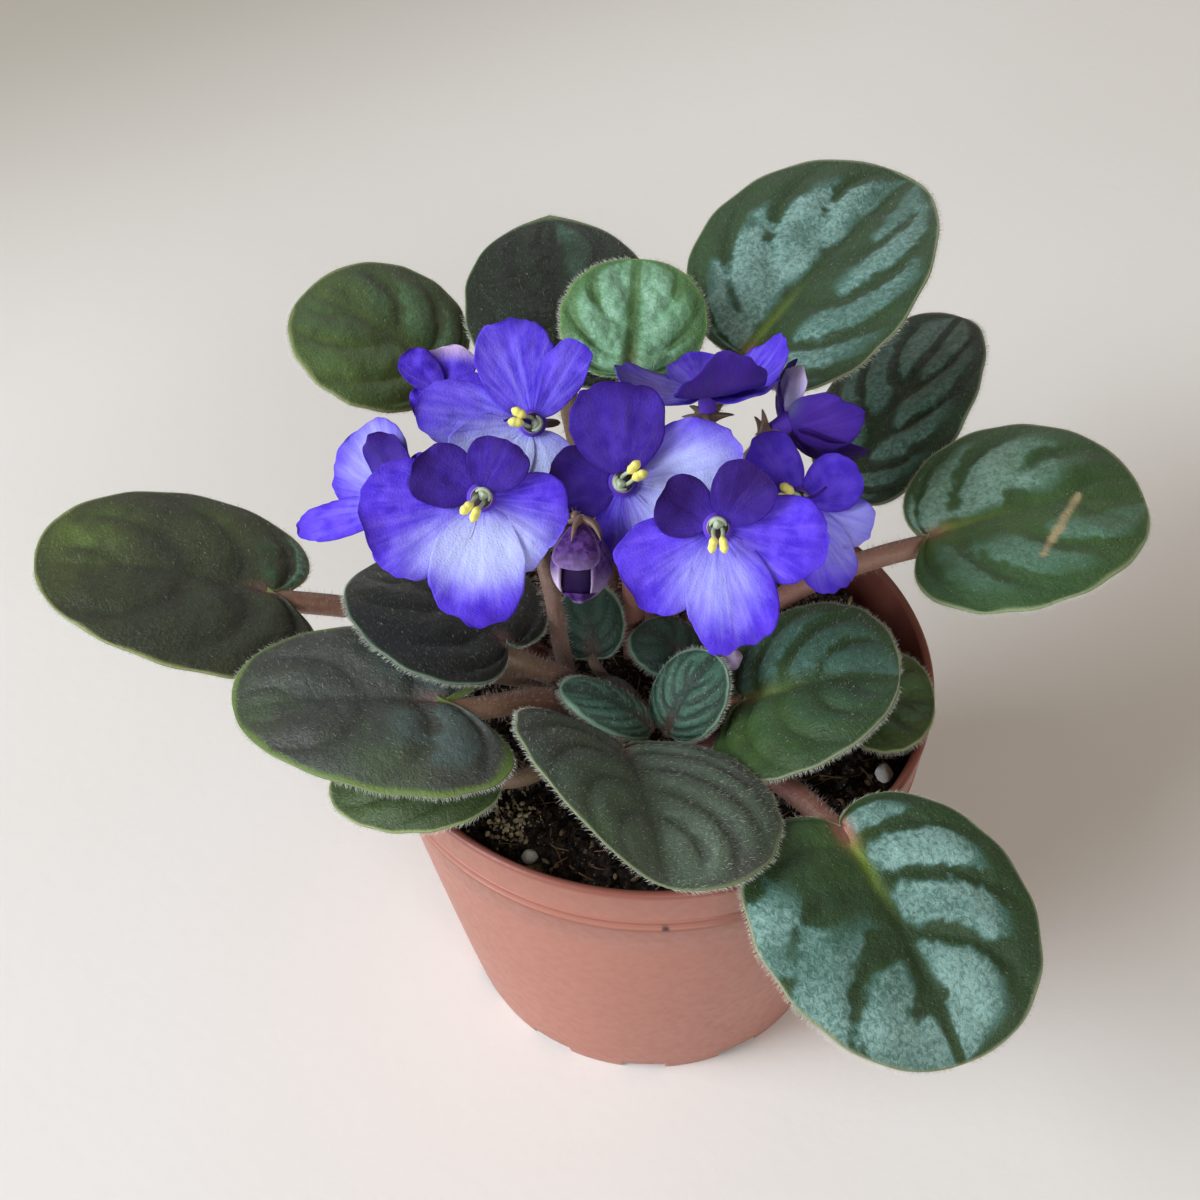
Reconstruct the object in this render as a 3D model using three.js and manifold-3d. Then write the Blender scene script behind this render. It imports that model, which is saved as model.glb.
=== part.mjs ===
// A potted african violet: a plastic pot with its soil, a rosette of hairy leaves on fleshy
// petioles and three stalks of violet flowers. Millimetres, +Z up, the pot stands on z = 0
// with its axis on the Z axis, and the front of the plant looks along -Y.
import * as THREE from 'three';
import ManifoldModule from 'manifold-3d';

const wasm = await ManifoldModule();
wasm.setup();

const TAU = 2 * Math.PI;
const GAP = 0.3;
const HOLE_GAP = 0.36;

// Pot: a 9 cm nursery pot.
const POT_HEIGHT = 69.4;
const POT_RIM_RADIUS = 45;
const POT_BASE_RADIUS = 32.6;
const POT_WALL = 1.2;
const POT_SIDES = 40;
// How the wall widens with height, and how much narrower than the rim it is below the band.
const WALL_CURVE = 0.93;
const BAND_TAPER = 1.4;
const EDGE_ROUND = 0.5;
const BAND_BOTTOM = 58.6;
const BAND_RIDGE = 61.7;
const BAND_STEP = 0.45;
const RIDGE_STEP = 0.4;
const FOOT_HEIGHT = 2;
const FOOT_WIDTH = 4;
const NOTCH_COUNT = 12;
const NOTCH_WIDTH = 7.5;
const NOTCH_HEIGHT = 1.7;
const NOTCH_TURN = -93.2;
const BASE_PAD_RADIUS = 17;
const DRAIN_COUNT = 6;
const DRAIN_RADIUS = 2.6;
const DRAIN_RING = 23;
const DRAIN_SIDES = 12;

// Soil.
const SOIL_LEVEL = 60.8;
const SOIL_SIDES = 24;
const SOIL_RINGS = [19, 26, 34, 41.2];
const CLOD_HEIGHT = 0.9;
const FOOT_DEPTH = 5.5;

// Leaves: blade thickness and the size of the petiole that carries it.
// A side vein leaves the midrib at one place and reaches the edge further on, by VEIN_SWEEP.
const BLADE_THICKNESS = 1;
const EDGE_FULLNESS = 0.9;
const SIDE_BOW = 0.2;
const MIDRIB_PACE = 1.4;
const FOLD_ROUND = 3;
const VEIN_PAIRS = 4;
const VEIN_RELIEF = 0.6;
const VEIN_SWEEP = 0.35;
const PETIOLE_SIDES = 5;
const PETIOLE_STEP = 9;
// The midrib under the blade: shares of its length, and its radius as a share of the petiole's.
const MIDRIB = [[0.2, 0.75], [0.4, 0.55], [0.62, 0.35]];
const MIDRIB_DEPTH = 0.3;
const LARGE = { rows: 8, columns: 4, petioleRadius: 1.8 };
const SMALL = { rows: 8, columns: 4, petioleRadius: 1.4 };
const YOUNG = { rows: 6, columns: 4, petioleRadius: 0.9 };

// Flowers.
const PETAL_THICKNESS = 0.7;
const PETAL_LAYER = 0.8;
const PETAL_ROWS = 6;
const PETAL_COLUMNS = 2;
const PETAL_START = 1.2;
const PETAL_CUP = 0.1;
const PETAL_RIPPLE = 0.35;
const TUBE_LENGTH = 3;
const TUBE_RADIUS = 1.8;
const TUBE_NECK = 0.75;
const TUBE_FLARE = 0.9;
const THROAT_HEIGHT = 2.6;
const ANTHER_HEIGHT = 4.2;
// A pollen sac: how far from the throat's middle it starts and ends, how far to the side its
// two ends are, and its radius.
const SAC_START = 0.8;
const SAC_END = 3.8;
const SAC_SPREAD = [0.6, 1];
const SAC_RADIUS = 1.1;
const CALYX_LENGTH = 2.4;
const CALYX_NECK = 0.9;
const CALYX_FLARE = 0.5;
const SEPAL_SPREAD = 3;

// Stalks: the radii at the two ends of a stalk, a pedicel and the small bud's stem, how deep
// a pedicel starts in the fork and how far it bows back behind its flower.
const STALK_RADII = [1.5, 1.3];
const PEDICEL_RADII = [1, 0.8];
const BUD_STEM_RADII = [0.8, 0.7];
const FORK_DEPTH = 1.2;
const PEDICEL_BOW = 2.5;
const BUD_FOLD = 0.1;

const COLOURS = {
  terracotta: 0xb98274,
  peat: 0x2c211b,
  leaf: 0x3c5a3a,
  youngLeaf: 0x4a6b4c,
  violet: 0x5b3fc8,
  pollen: 0xf0e33c,
  stalk: 0x6b5148,
  budPurple: 0x4c2c66,
  budPink: 0xb06a9c,
  perlite: 0xe6e3dc,
};

// Every leaf: where its blade starts and ends, how wide it is and how it lies.
// lobe is the part behind the start of the midrib, as a share of the length, and slant how far
// the blade leans along its midrib for each millimetre to the side. roll and fold are degrees.
// sinus is how wide the notch at the petiole is, ovate how far the widest place lies towards the
// petiole, point how pointed the tip is, and bow and droop are how high the midrib arches and
// how far the edges hang. rise and reach shape the petiole. foot is where it enters the soil:
// radius and azimuth about the crown.
const CROWN = [-2, 2];
const USUAL_LEAF = {
  size: LARGE, lobe: 0.1, slant: 0, sinus: 0.08, ovate: 0.03, point: 0, roll: 0, fold: 4, bow: 2,
  droop: 2, rise: 0.8, reach: 0.3,
};
const LEAVES = [
  { name: 'leaf_far_left', base: [-61.5, 9, 78.5], tip: [-98, 10.5, 84], width: 38, lobe: 0.3,
    slant: 0.24, sinus: 0.1, foot: [13.5, 158] },
  { name: 'leaf_left_front', base: [-32, -21.5, 86], tip: [-62.5, -20, 82.5], width: 32.5, lobe: 0.36,
    slant: 0.4, sinus: 0.1, droop: 3, foot: [13, 222] },
  { name: 'leaf_left_dark', base: [-22.5, -9, 84.5], tip: [-45, 9.5, 83], width: 35, lobe: 0.15,
    slant: 0.2, roll: -18, reach: 0.15, rise: 0.6, foot: [8.5, 215] },
  { name: 'leaf_back_left', base: [-36, 59.5, 82], tip: [-60, 71, 92], width: 36,
    foot: [13, 125] },
  { name: 'leaf_back_dark', base: [-13.5, 56, 84], tip: [-16.5, 97, 90], width: 34, lobe: 0.12,
    ovate: 0.1, point: 0.8, fold: 8, foot: [13, 103] },
  { name: 'leaf_back_round', base: [-2.5, 39, 98], tip: [-1, 56.5, 108], width: 24.5, lobe: 0.08,
    bow: 1, droop: 1, foot: [7, 95] },
  { name: 'leaf_back_right', base: [17, 47.5, 95], tip: [49.5, 83.5, 105], width: 44,
    slant: -0.25, ovate: 0.18, point: 0.3, roll: 4, fold: 16, foot: [13.5, 78] },
  { name: 'leaf_right_upper', base: [35.6, 38, 74], tip: [58.5, 71, 84], width: 31.5,
    slant: -0.3, roll: 22, fold: 8, foot: [13, 47] },
  { name: 'leaf_right', base: [45, 14.5, 83], tip: [80.5, 20, 85], width: 41, lobe: 0.14,
    slant: -0.15, bow: 3, foot: [13, 20] },
  { name: 'leaf_front_right', base: [26, -36.5, 74], tip: [41.5, -65.5, 57], width: 41, lobe: 0.14,
    slant: -0.15, fold: 6, bow: 3, foot: [13, 303] },
  { name: 'leaf_front', base: [-5, -23.5, 77], tip: [0, -50.5, 80], width: 38, lobe: 0.22,
    slant: -0.25, sinus: 0.12, roll: 22, fold: 18, rise: 0.2, reach: 0.1, foot: [12, 254] },
  { name: 'leaf_right_inner', base: [14.3, -11, 73], tip: [36.7, -14.5, 81], width: 35, lobe: 0.3,
    slant: -0.05, sinus: 0.1, fold: 6, foot: [9, 318] },
  { name: 'leaf_left_low', size: SMALL, base: [-24, -27, 76], tip: [-49, -24.5, 72], width: 22,
    lobe: 0.08, foot: [14, 236] },
  { name: 'leaf_left_under', size: SMALL, base: [-26, -8, 79], tip: [-45, 1, 79], width: 20,
    foot: [13, 197] },
  { name: 'leaf_right_hidden', size: SMALL, base: [30.5, -10, 71], tip: [43.5, -11.5, 72], width: 21,
    bow: 1, droop: 1, foot: [13, 346] },
  { name: 'young_leaf_left', size: YOUNG, base: [-0.8, -14.8, 71.6], tip: [-14.5, -12.6, 78.5],
    width: 9.2, lobe: 0.05, reach: 0.08, foot: [6, 262] },
  { name: 'young_leaf_right', size: YOUNG, base: [1.8, -15, 70.5], tip: [9.5, -8, 80], width: 13,
    lobe: 0.05, reach: 0.08, foot: [6, 300] },
  { name: 'young_leaf_dark', size: YOUNG, base: [6, -0.5, 70], tip: [-2, 7, 71], width: 12,
    foot: [6, 350] },
  { name: 'young_leaf_round', size: YOUNG, base: [-9.6, 2, 70], tip: [-10, 12, 76], width: 11,
    foot: [4, 200] },
  { name: 'young_leaf_purple', size: YOUNG, base: [-3, -7.5, 69], tip: [-9.6, -4.5, 69.8], width: 6,
    lobe: 0.05, foot: [3.5, 225] },
];

// Every flower: the middle of its throat, where it faces (azimuth and elevation in degrees) and
// its petals: the turn of each from the top, clockwise as seen from the front, its length, its
// width, how far its tip stands forward and its layer, counted from the back. The first two
// petals are the small upper ones and the last is the lower lip. pollen is the turn of the
// anthers.
const FLOWERS = [
  { name: 'flower_front_left', centre: [-25, -2, 108], facing: [-86, 43], pollen: -140,
    petals: [[-57, 10.8, 9.5, 1, 1], [28, 9, 9, 1, 2], [-103, 17.8, 17, 0, 0],
      [122, 12.5, 15, -1, 0], [187, 18, 14, 0, 1]] },
  { name: 'flower_top_left', centre: [-18, 18, 105], facing: [-87, 42], pollen: -70,
    petals: [[-13, 16, 12, 1, 1], [34, 14.5, 7, 2, 2], [-80, 18, 10, 0, 0],
      [-125, 14, 13, 0, 1], [172, 13, 12, -1, 0]] },
  { name: 'flower_middle', centre: [-4.5, 3, 106], facing: [-90, 44], pollen: 55,
    petals: [[-4, 14.5, 14, 1, 2], [-92, 10.8, 11, 0, 0], [78, 17.5, 14, 0, 0],
      [128, 13, 12, 0, 1], [178, 11.5, 9, -3, 0]] },
  { name: 'flower_front', centre: [8.8, -8, 107], facing: [-94, 43], pollen: 178,
    petals: [[-62, 9.5, 9, 1, 1], [34, 10.5, 9.5, 1, 2], [98, 16, 12.5, 0, 0],
      [-128, 15.8, 14, 0, 0], [167, 18, 13, 0, 1]] },
  { name: 'flower_right', centre: [22.5, 8, 97], facing: [-96, 46], pollen: -70,
    petals: [[-36, 11.5, 8, 0, 1], [60, 10, 9, 1, 1], [110, 12, 8, 0, 0], [152, 15, 9, -1, 1],
      [-120, 11, 9, 0, 0]] },
  { name: 'flower_far_left', centre: [-38, 7, 99], facing: [-135, 42], pollen: 170,
    petals: [[-42, 10.5, 8, 3, 1], [20, 9, 8, 0, 0], [-74, 14, 15, 0, 0], [-132, 19, 6, 0, 1],
      [150, 10, 9, 0, 0]] },
  { name: 'flower_back', centre: [9, 23, 106.3], facing: [95, 72], pollen: 0,
    petals: [[-8, 12, 14, 8, 1], [-55, 11.5, 10, 2, 0], [-100, 12.5, 13, 6, 0], [88, 14, 15, 3.5, 0],
      [-175, 9.5, 12, 1.5, 1]] },
  { name: 'flower_back_right', centre: [21.5, 21, 101.8], facing: [30, 10], pollen: 180,
    petals: [[20, 7.5, 8, 3.5, 1], [75, 8.5, 8, 7, 0], [-65, 10.5, 10, 6.5, 0], [-125, 10.5, 12, 7, 1],
      [165, 9, 8, 6, 0]] },
  { name: 'flower_back_left', centre: [-33, 37, 95], facing: [-90, 60], closed: true,
    petals: [[-42, 10, 6, 0, 1], [8, 9, 8.5, 0, 0], [85, 7, 7, 0, 1], [-110, 6, 6, 0, 0],
      [180, 7, 7, 0, 1]] },
];

// Every stalk: the points of its middle line from the soil to the fork, and what it carries.
const STALKS = [
  { name: 'stalk_left', route: [[-12.8, 3.2, 55], [-13.4, 2.8, 62.5], [-14.6, 1, 74], [-15.3, -0.8, 85],
    [-17, 3, 92]],
    flowers: ['flower_front_left', 'flower_top_left', 'flower_far_left', 'flower_back_left'],
    pedicel: [[-16, 2, 97], [-14.6, -2.2, 102], [-11.2, -3.2, 105.3]] },
  { name: 'stalk_middle', route: [[3.2, 10.8, 55], [3.2, 10.8, 66], [3, 9, 80], [3, 8, 89]],
    flowers: ['flower_middle', 'flower_front', 'flower_back'] },
  { name: 'stalk_right', route: [[5, 7, 55], [6, 9, 66], [12, 17, 80], [14.5, 20, 88]],
    flowers: ['flower_right', 'flower_back_right'] },
];
const BUDS = [
  { name: 'bud_nodding', neck: [-10.7, -3.8, 104.8], tip: [-11.1, -11, 95.2], radius: 4.5,
    rings: 7, sides: 15, colour: 'budPurple' },
  { name: 'bud_small', neck: [11, -1, 72], tip: [12.6, -7, 78], radius: 2, rings: 5, sides: 10,
    colour: 'budPink', foot: [8, 0, 55] },
];
const FALLEN_PETAL = { base: [-9.6, -18.4, 71.4], tip: [-13.4, -17.4, 72.4], width: 3.4 };
const PERLITE = [
  { centre: [-19.5, -31.8, 61.6], radius: 1.3 },
  { centre: [-26, -21, 61.8], radius: 1.1 },
  { centre: [36, -17, 61.8], radius: 1.5 },
];

function vector(point) {
  return new THREE.Vector3(point[0], point[1], point[2]);
}

function radians(degrees) {
  return degrees * Math.PI / 180;
}

function direction(azimuth, elevation) {
  const flat = Math.cos(radians(elevation));
  return new THREE.Vector3(
    flat * Math.cos(radians(azimuth)),
    flat * Math.sin(radians(azimuth)),
    Math.sin(radians(elevation)),
  );
}

// ---- Closed solids ----

class SolidBuilder {
  constructor() {
    this.vertices = [];
    this.triangles = [];
  }

  point(p) {
    this.vertices.push(p.x, p.y, p.z);
    return this.vertices.length / 3 - 1;
  }

  triangle(a, b, c) {
    this.triangles.push(a, b, c);
  }

  solid() {
    const mesh = new wasm.Mesh({
      numProp: 3,
      vertProperties: new Float32Array(this.vertices),
      triVerts: new Uint32Array(this.triangles),
    });
    return new wasm.Manifold(mesh);
  }
}

// A thin closed sheet from a start point to an end point. place(t, v, side) gives a point of the
// upper (side 0) or lower (side 1) face, for t from 0 to 1 along it and v from -1 to 1 across.
// Both faces are split alike.
function sheetSolid(rows, columns, place) {
  const builder = new SolidBuilder();
  const faces = [0, 1].map((side) => {
    const start = builder.point(place(0, 0, side));
    const grid = [];
    for (let i = 1; i < rows; i += 1) {
      const row = [];
      for (let j = 0; j <= columns; j += 1) {
        row.push(builder.point(place(i / rows, 2 * j / columns - 1, side)));
      }
      grid.push(row);
    }
    const end = builder.point(place(1, 0, side));
    return { start, grid, end };
  });
  const split = (a, b, c, side) => {
    if (side === 0) {
      builder.triangle(a, b, c);
    } else {
      builder.triangle(a, c, b);
    }
  };
  faces.forEach((face, side) => {
    const last = face.grid.length - 1;
    for (let j = 0; j < columns; j += 1) {
      split(face.start, face.grid[0][j + 1], face.grid[0][j], side);
      split(face.end, face.grid[last][j], face.grid[last][j + 1], side);
      for (let i = 0; i < last; i += 1) {
        const a = face.grid[i][j];
        const b = face.grid[i][j + 1];
        const c = face.grid[i + 1][j + 1];
        const d = face.grid[i + 1][j];
        if (j < columns / 2) {
          split(a, b, d, side);
          split(b, c, d, side);
        } else {
          split(a, b, c, side);
          split(a, c, d, side);
        }
      }
    }
  });
  const edge = (face, j) => [face.start, ...face.grid.map((row) => row[j]), face.end];
  [0, columns].forEach((j) => {
    const top = edge(faces[0], j);
    const bottom = edge(faces[1], j);
    for (let k = 0; k + 1 < top.length; k += 1) {
      split(top[k], bottom[k], bottom[k + 1], j === 0 ? 1 : 0);
      split(top[k], bottom[k + 1], top[k + 1], j === 0 ? 1 : 0);
    }
  });
  return builder.solid();
}

// A closed round tube through points, with its own radius at each of them.
function tubeSolid(points, radii, sides) {
  const builder = new SolidBuilder();
  const rings = [];
  const tangentAt = (i) => {
    const ahead = points[Math.min(i + 1, points.length - 1)];
    const behind = points[Math.max(i - 1, 0)];
    return ahead.clone().sub(behind).normalize();
  };
  let across = new THREE.Vector3(1, 0, 0);
  points.forEach((centre, i) => {
    const tangent = tangentAt(i);
    across = across.clone().addScaledVector(tangent, -across.dot(tangent)).normalize();
    const up = new THREE.Vector3().crossVectors(tangent, across);
    const ring = [];
    for (let k = 0; k < sides; k += 1) {
      const angle = TAU * k / sides;
      const offset = across.clone().multiplyScalar(Math.cos(angle) * radii[i]);
      offset.addScaledVector(up, Math.sin(angle) * radii[i]);
      ring.push(builder.point(centre.clone().add(offset)));
    }
    rings.push(ring);
  });
  const first = builder.point(points[0]);
  const last = builder.point(points[points.length - 1]);
  for (let k = 0; k < sides; k += 1) {
    const next = (k + 1) % sides;
    builder.triangle(first, rings[0][next], rings[0][k]);
    builder.triangle(last, rings[rings.length - 1][k], rings[rings.length - 1][next]);
    for (let i = 0; i + 1 < rings.length; i += 1) {
      builder.triangle(rings[i][k], rings[i][next], rings[i + 1][next]);
      builder.triangle(rings[i][k], rings[i + 1][next], rings[i + 1][k]);
    }
  }
  return builder.solid();
}

// A closed body of revolution about an axis, from its first pole to its last.
// radiusAt(s, turn) gives its radius at share s of its length and a turn in radians.
function spindleSolid(start, end, rings, sides, radiusAt) {
  const builder = new SolidBuilder();
  const axis = end.clone().sub(start);
  const unit = axis.clone().normalize();
  const helper = Math.abs(unit.z) < 0.9 ? new THREE.Vector3(0, 0, 1) : new THREE.Vector3(1, 0, 0);
  const across = new THREE.Vector3().crossVectors(helper, unit).normalize();
  const up = new THREE.Vector3().crossVectors(unit, across);
  const grid = [];
  for (let i = 1; i < rings; i += 1) {
    const share = i / rings;
    const row = [];
    for (let k = 0; k < sides; k += 1) {
      const turn = TAU * k / sides;
      const radius = radiusAt(share, turn);
      const point = start.clone().addScaledVector(axis, share);
      point.addScaledVector(across, Math.cos(turn) * radius);
      point.addScaledVector(up, Math.sin(turn) * radius);
      row.push(builder.point(point));
    }
    grid.push(row);
  }
  const first = builder.point(start);
  const last = builder.point(end);
  for (let k = 0; k < sides; k += 1) {
    const next = (k + 1) % sides;
    builder.triangle(first, grid[0][next], grid[0][k]);
    builder.triangle(last, grid[grid.length - 1][k], grid[grid.length - 1][next]);
    for (let i = 0; i + 1 < grid.length; i += 1) {
      builder.triangle(grid[i][k], grid[i][next], grid[i + 1][next]);
      builder.triangle(grid[i][k], grid[i + 1][next], grid[i + 1][k]);
    }
  }
  return builder.solid();
}

// The largest body of a solid, with loose scraps and sealed hollows left out.
function mainBody(solid) {
  const bodies = solid.decompose();
  return bodies.reduce((best, body) => (body.volume() > best.volume() ? body : best));
}

function solidFromGeometry(geometry) {
  const position = geometry.getAttribute('position');
  const builder = new SolidBuilder();
  const known = new Map();
  const cornerOf = (i) => {
    const p = new THREE.Vector3().fromBufferAttribute(position, i);
    const key = [p.x, p.y, p.z].map((value) => Math.round(value * 1e4)).join(' ');
    if (!known.has(key)) {
      known.set(key, builder.point(p));
    }
    return known.get(key);
  };
  const index = geometry.getIndex();
  for (let i = 0; i < index.count; i += 3) {
    const corners = [0, 1, 2].map((k) => cornerOf(index.getX(i + k)));
    if (new Set(corners).size === 3) {
      builder.triangle(...corners);
    }
  }
  return builder.solid();
}

function nodeFromSolid(name, solid, colour, roughness = 0.7) {
  const mesh = solid.getMesh();
  const geometry = new THREE.BufferGeometry();
  const corners = new Float32Array(mesh.numVert * 3);
  for (let i = 0; i < mesh.numVert; i += 1) {
    for (let k = 0; k < 3; k += 1) {
      corners[3 * i + k] = mesh.vertProperties[mesh.numProp * i + k];
    }
  }
  geometry.setAttribute('position', new THREE.BufferAttribute(corners, 3));
  geometry.setIndex(new THREE.BufferAttribute(new Uint32Array(mesh.triVerts), 1));
  const flat = geometry.toNonIndexed();
  flat.computeVertexNormals();
  const material = new THREE.MeshStandardMaterial({ color: colour, roughness });
  const node = new THREE.Mesh(flat, material);
  node.name = name;
  return node;
}

// ---- Pot ----

function wallRadius(height) {
  const share = Math.min(height / BAND_BOTTOM, 1);
  return POT_BASE_RADIUS + (POT_RIM_RADIUS - BAND_TAPER - POT_BASE_RADIUS) * share ** WALL_CURVE;
}

function potProfile() {
  const points = [];
  const add = (radius, height) => points.push(new THREE.Vector2(radius, height));
  add(0, 0);
  add(BASE_PAD_RADIUS, 0);
  add(BASE_PAD_RADIUS + 1, FOOT_HEIGHT);
  add(POT_BASE_RADIUS - FOOT_WIDTH, FOOT_HEIGHT);
  add(POT_BASE_RADIUS - FOOT_WIDTH + EDGE_ROUND, 0);
  add(POT_BASE_RADIUS - EDGE_ROUND, 0);
  add(POT_BASE_RADIUS, EDGE_ROUND);
  [5, 20, 40, BAND_BOTTOM].forEach((height) => add(wallRadius(height), height));
  const bandRadius = wallRadius(BAND_BOTTOM) + BAND_STEP;
  add(bandRadius, BAND_BOTTOM + EDGE_ROUND / 2);
  add(bandRadius, BAND_RIDGE - EDGE_ROUND / 2);
  add(bandRadius + RIDGE_STEP, BAND_RIDGE);
  add(POT_RIM_RADIUS, POT_HEIGHT - EDGE_ROUND);
  add(POT_RIM_RADIUS - EDGE_ROUND, POT_HEIGHT);
  add(POT_RIM_RADIUS - POT_WALL, POT_HEIGHT);
  add(POT_RIM_RADIUS - POT_WALL - EDGE_ROUND / 2, POT_HEIGHT - EDGE_ROUND);
  add(bandRadius - POT_WALL, BAND_RIDGE);
  [40, 20].forEach((height) => add(wallRadius(height) - POT_WALL, height));
  add(wallRadius(5) - POT_WALL, FOOT_HEIGHT + POT_WALL);
  add(0, FOOT_HEIGHT + POT_WALL);
  return points;
}

function buildPot() {
  const turned = new THREE.LatheGeometry(potProfile(), POT_SIDES);
  turned.rotateX(Math.PI / 2);
  let pot = solidFromGeometry(turned);
  for (let k = 0; k < NOTCH_COUNT; k += 1) {
    const notch = new THREE.BoxGeometry(2 * FOOT_WIDTH, NOTCH_WIDTH, 2 * NOTCH_HEIGHT);
    notch.translate(POT_BASE_RADIUS - FOOT_WIDTH / 4, 0, 0);
    notch.rotateZ(radians(NOTCH_TURN + 360 * k / NOTCH_COUNT));
    pot = pot.subtract(solidFromGeometry(notch));
  }
  for (let k = 0; k < DRAIN_COUNT; k += 1) {
    const through = 4 * (FOOT_HEIGHT + POT_WALL);
    const drain = new THREE.CylinderGeometry(DRAIN_RADIUS, DRAIN_RADIUS, through, DRAIN_SIDES);
    drain.rotateX(Math.PI / 2);
    drain.translate(DRAIN_RING, 0, 0);
    drain.rotateZ(TAU * k / DRAIN_COUNT);
    pot = pot.subtract(solidFromGeometry(drain));
  }
  return pot;
}

// ---- Soil ----

function clodHeight(x, y) {
  const broad = Math.sin(0.31 * x + 1.1) * Math.cos(0.27 * y - 0.6);
  const fine = Math.sin(0.83 * x - 0.4 * y) * Math.cos(0.71 * y + 0.3 * x);
  return CLOD_HEIGHT * (0.6 * broad + 0.4 * fine);
}

function buildSoil() {
  const builder = new SolidBuilder();
  const floor = FOOT_HEIGHT + POT_WALL + GAP;
  const rings = [];
  const addRing = (radius, heightAt) => {
    const ring = [];
    for (let k = 0; k < SOIL_SIDES; k += 1) {
      const angle = TAU * k / SOIL_SIDES;
      const x = radius * Math.cos(angle);
      const y = radius * Math.sin(angle);
      ring.push(builder.point(new THREE.Vector3(x, y, heightAt(x, y))));
    }
    rings.push(ring);
  };
  const top = builder.point(new THREE.Vector3(0, 0, SOIL_LEVEL + clodHeight(0, 0)));
  SOIL_RINGS.forEach((radius) => {
    addRing(radius, (x, y) => SOIL_LEVEL + clodHeight(x, y));
  });
  [BAND_BOTTOM - 1, 40, 20, 5].forEach((height) => {
    addRing(wallRadius(height) - POT_WALL - 2 * GAP, () => height);
  });
  addRing(wallRadius(5) - POT_WALL - 1, () => floor);
  const bottom = builder.point(new THREE.Vector3(0, 0, floor));
  for (let k = 0; k < SOIL_SIDES; k += 1) {
    const next = (k + 1) % SOIL_SIDES;
    builder.triangle(top, rings[0][k], rings[0][next]);
    builder.triangle(bottom, rings[rings.length - 1][next], rings[rings.length - 1][k]);
    for (let i = 0; i + 1 < rings.length; i += 1) {
      builder.triangle(rings[i][k], rings[i + 1][k], rings[i + 1][next]);
      builder.triangle(rings[i][k], rings[i + 1][next], rings[i][next]);
    }
  }
  return builder.solid();
}

// ---- Leaves ----

// The frame of a blade: its origin, the way along it, the way across and the way up.
function bladeFrame(leaf) {
  const base = vector(leaf.base);
  const along = vector(leaf.tip).sub(base);
  const length = along.length();
  along.normalize();
  const flatSide = new THREE.Vector3().crossVectors(along, new THREE.Vector3(0, 0, 1)).normalize();
  const flatUp = new THREE.Vector3().crossVectors(flatSide, along);
  const roll = radians(leaf.roll);
  const side = flatSide.clone().multiplyScalar(Math.cos(roll));
  side.addScaledVector(flatUp, Math.sin(roll));
  const up = flatUp.clone().multiplyScalar(Math.cos(roll));
  up.addScaledVector(flatSide, -Math.sin(roll));
  return { base, along, side, up, length };
}

// A point of the blade's upper face: t from 0 at the start of the midrib to 1 at the tip, and
// v from -1 to 1 from edge to edge. Lines of equal t run like the side veins.
function bladePoint(leaf, frame, t, v) {
  const { length } = frame;
  const lobe = leaf.lobe;
  const turn = Math.PI * (1 - t);
  const notch = 1 - Math.exp(-((t / leaf.sinus) ** 2));
  const middle = length * (1 - lobe) / 2;
  const reach = length * (1 + lobe) / 2;
  const sharp = EDGE_FULLNESS + leaf.point * Math.max(0, Math.cos(turn));
  const bulge = Math.sin(turn) ** sharp * (1 - leaf.ovate * Math.cos(turn));
  const edgeAlong = (middle + reach * Math.cos(turn)) * notch;
  const edgeAcross = leaf.width / 2 * bulge * notch;
  const rib = length * t ** MIDRIB_PACE;
  const out = Math.abs(v);
  const across = v * edgeAcross;
  const sweep = -SIDE_BOW * length * out * (1 - out) * Math.sin(turn);
  const lengthways = rib + (edgeAlong - rib) * out + sweep + leaf.slant * across;
  const share = lengthways / length;
  const fold = Math.tan(radians(leaf.fold)) * (Math.hypot(across, FOLD_ROUND) - FOLD_ROUND);
  const arch = leaf.bow * 4 * share * (1 - share);
  const droop = -leaf.droop * (2 * Math.abs(across) / leaf.width) ** 3;
  const veins = VEIN_PAIRS * (t - VEIN_SWEEP * out ** 1.5);
  const quilt = VEIN_RELIEF * 4 * out * (1 - out) * Math.sin(Math.PI * veins) ** 2;
  const height = arch + fold + droop + quilt * Math.min(1, leaf.width / 30);
  return frame.base.clone()
    .addScaledVector(frame.along, lengthways)
    .addScaledVector(frame.side, across)
    .addScaledVector(frame.up, height);
}

// The petiole's centre line: up out of the soil, over to the blade and on as its midrib.
function petiolePath(leaf, frame, radius) {
  const [ring, azimuth] = leaf.foot;
  const foot = new THREE.Vector3(
    CROWN[0] + ring * Math.cos(radians(azimuth)),
    CROWN[1] + ring * Math.sin(radians(azimuth)),
    SOIL_LEVEL - FOOT_DEPTH,
  );
  const joint = frame.base.clone().addScaledVector(frame.up, -radius - 0.2);
  const rise = joint.z - foot.z;
  const span = foot.distanceTo(joint);
  const lower = foot.clone().add(new THREE.Vector3(0, 0, leaf.rise * rise));
  const upper = joint.clone().addScaledVector(frame.along, -leaf.reach * span);
  upper.z = joint.z - 0.03 * span;
  const curve = new THREE.CubicBezierCurve3(foot, lower, upper, joint);
  const steps = Math.max(4, Math.round(span / PETIOLE_STEP));
  const line = curve.getPoints(steps);
  const radii = line.map(() => radius);
  MIDRIB.forEach(([t, share]) => {
    const thick = radius * share;
    const point = bladePoint(leaf, frame, t, 0);
    line.push(point.addScaledVector(frame.up, -thick - MIDRIB_DEPTH));
    radii.push(thick);
  });
  return { line, radii, sides: PETIOLE_SIDES };
}

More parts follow.
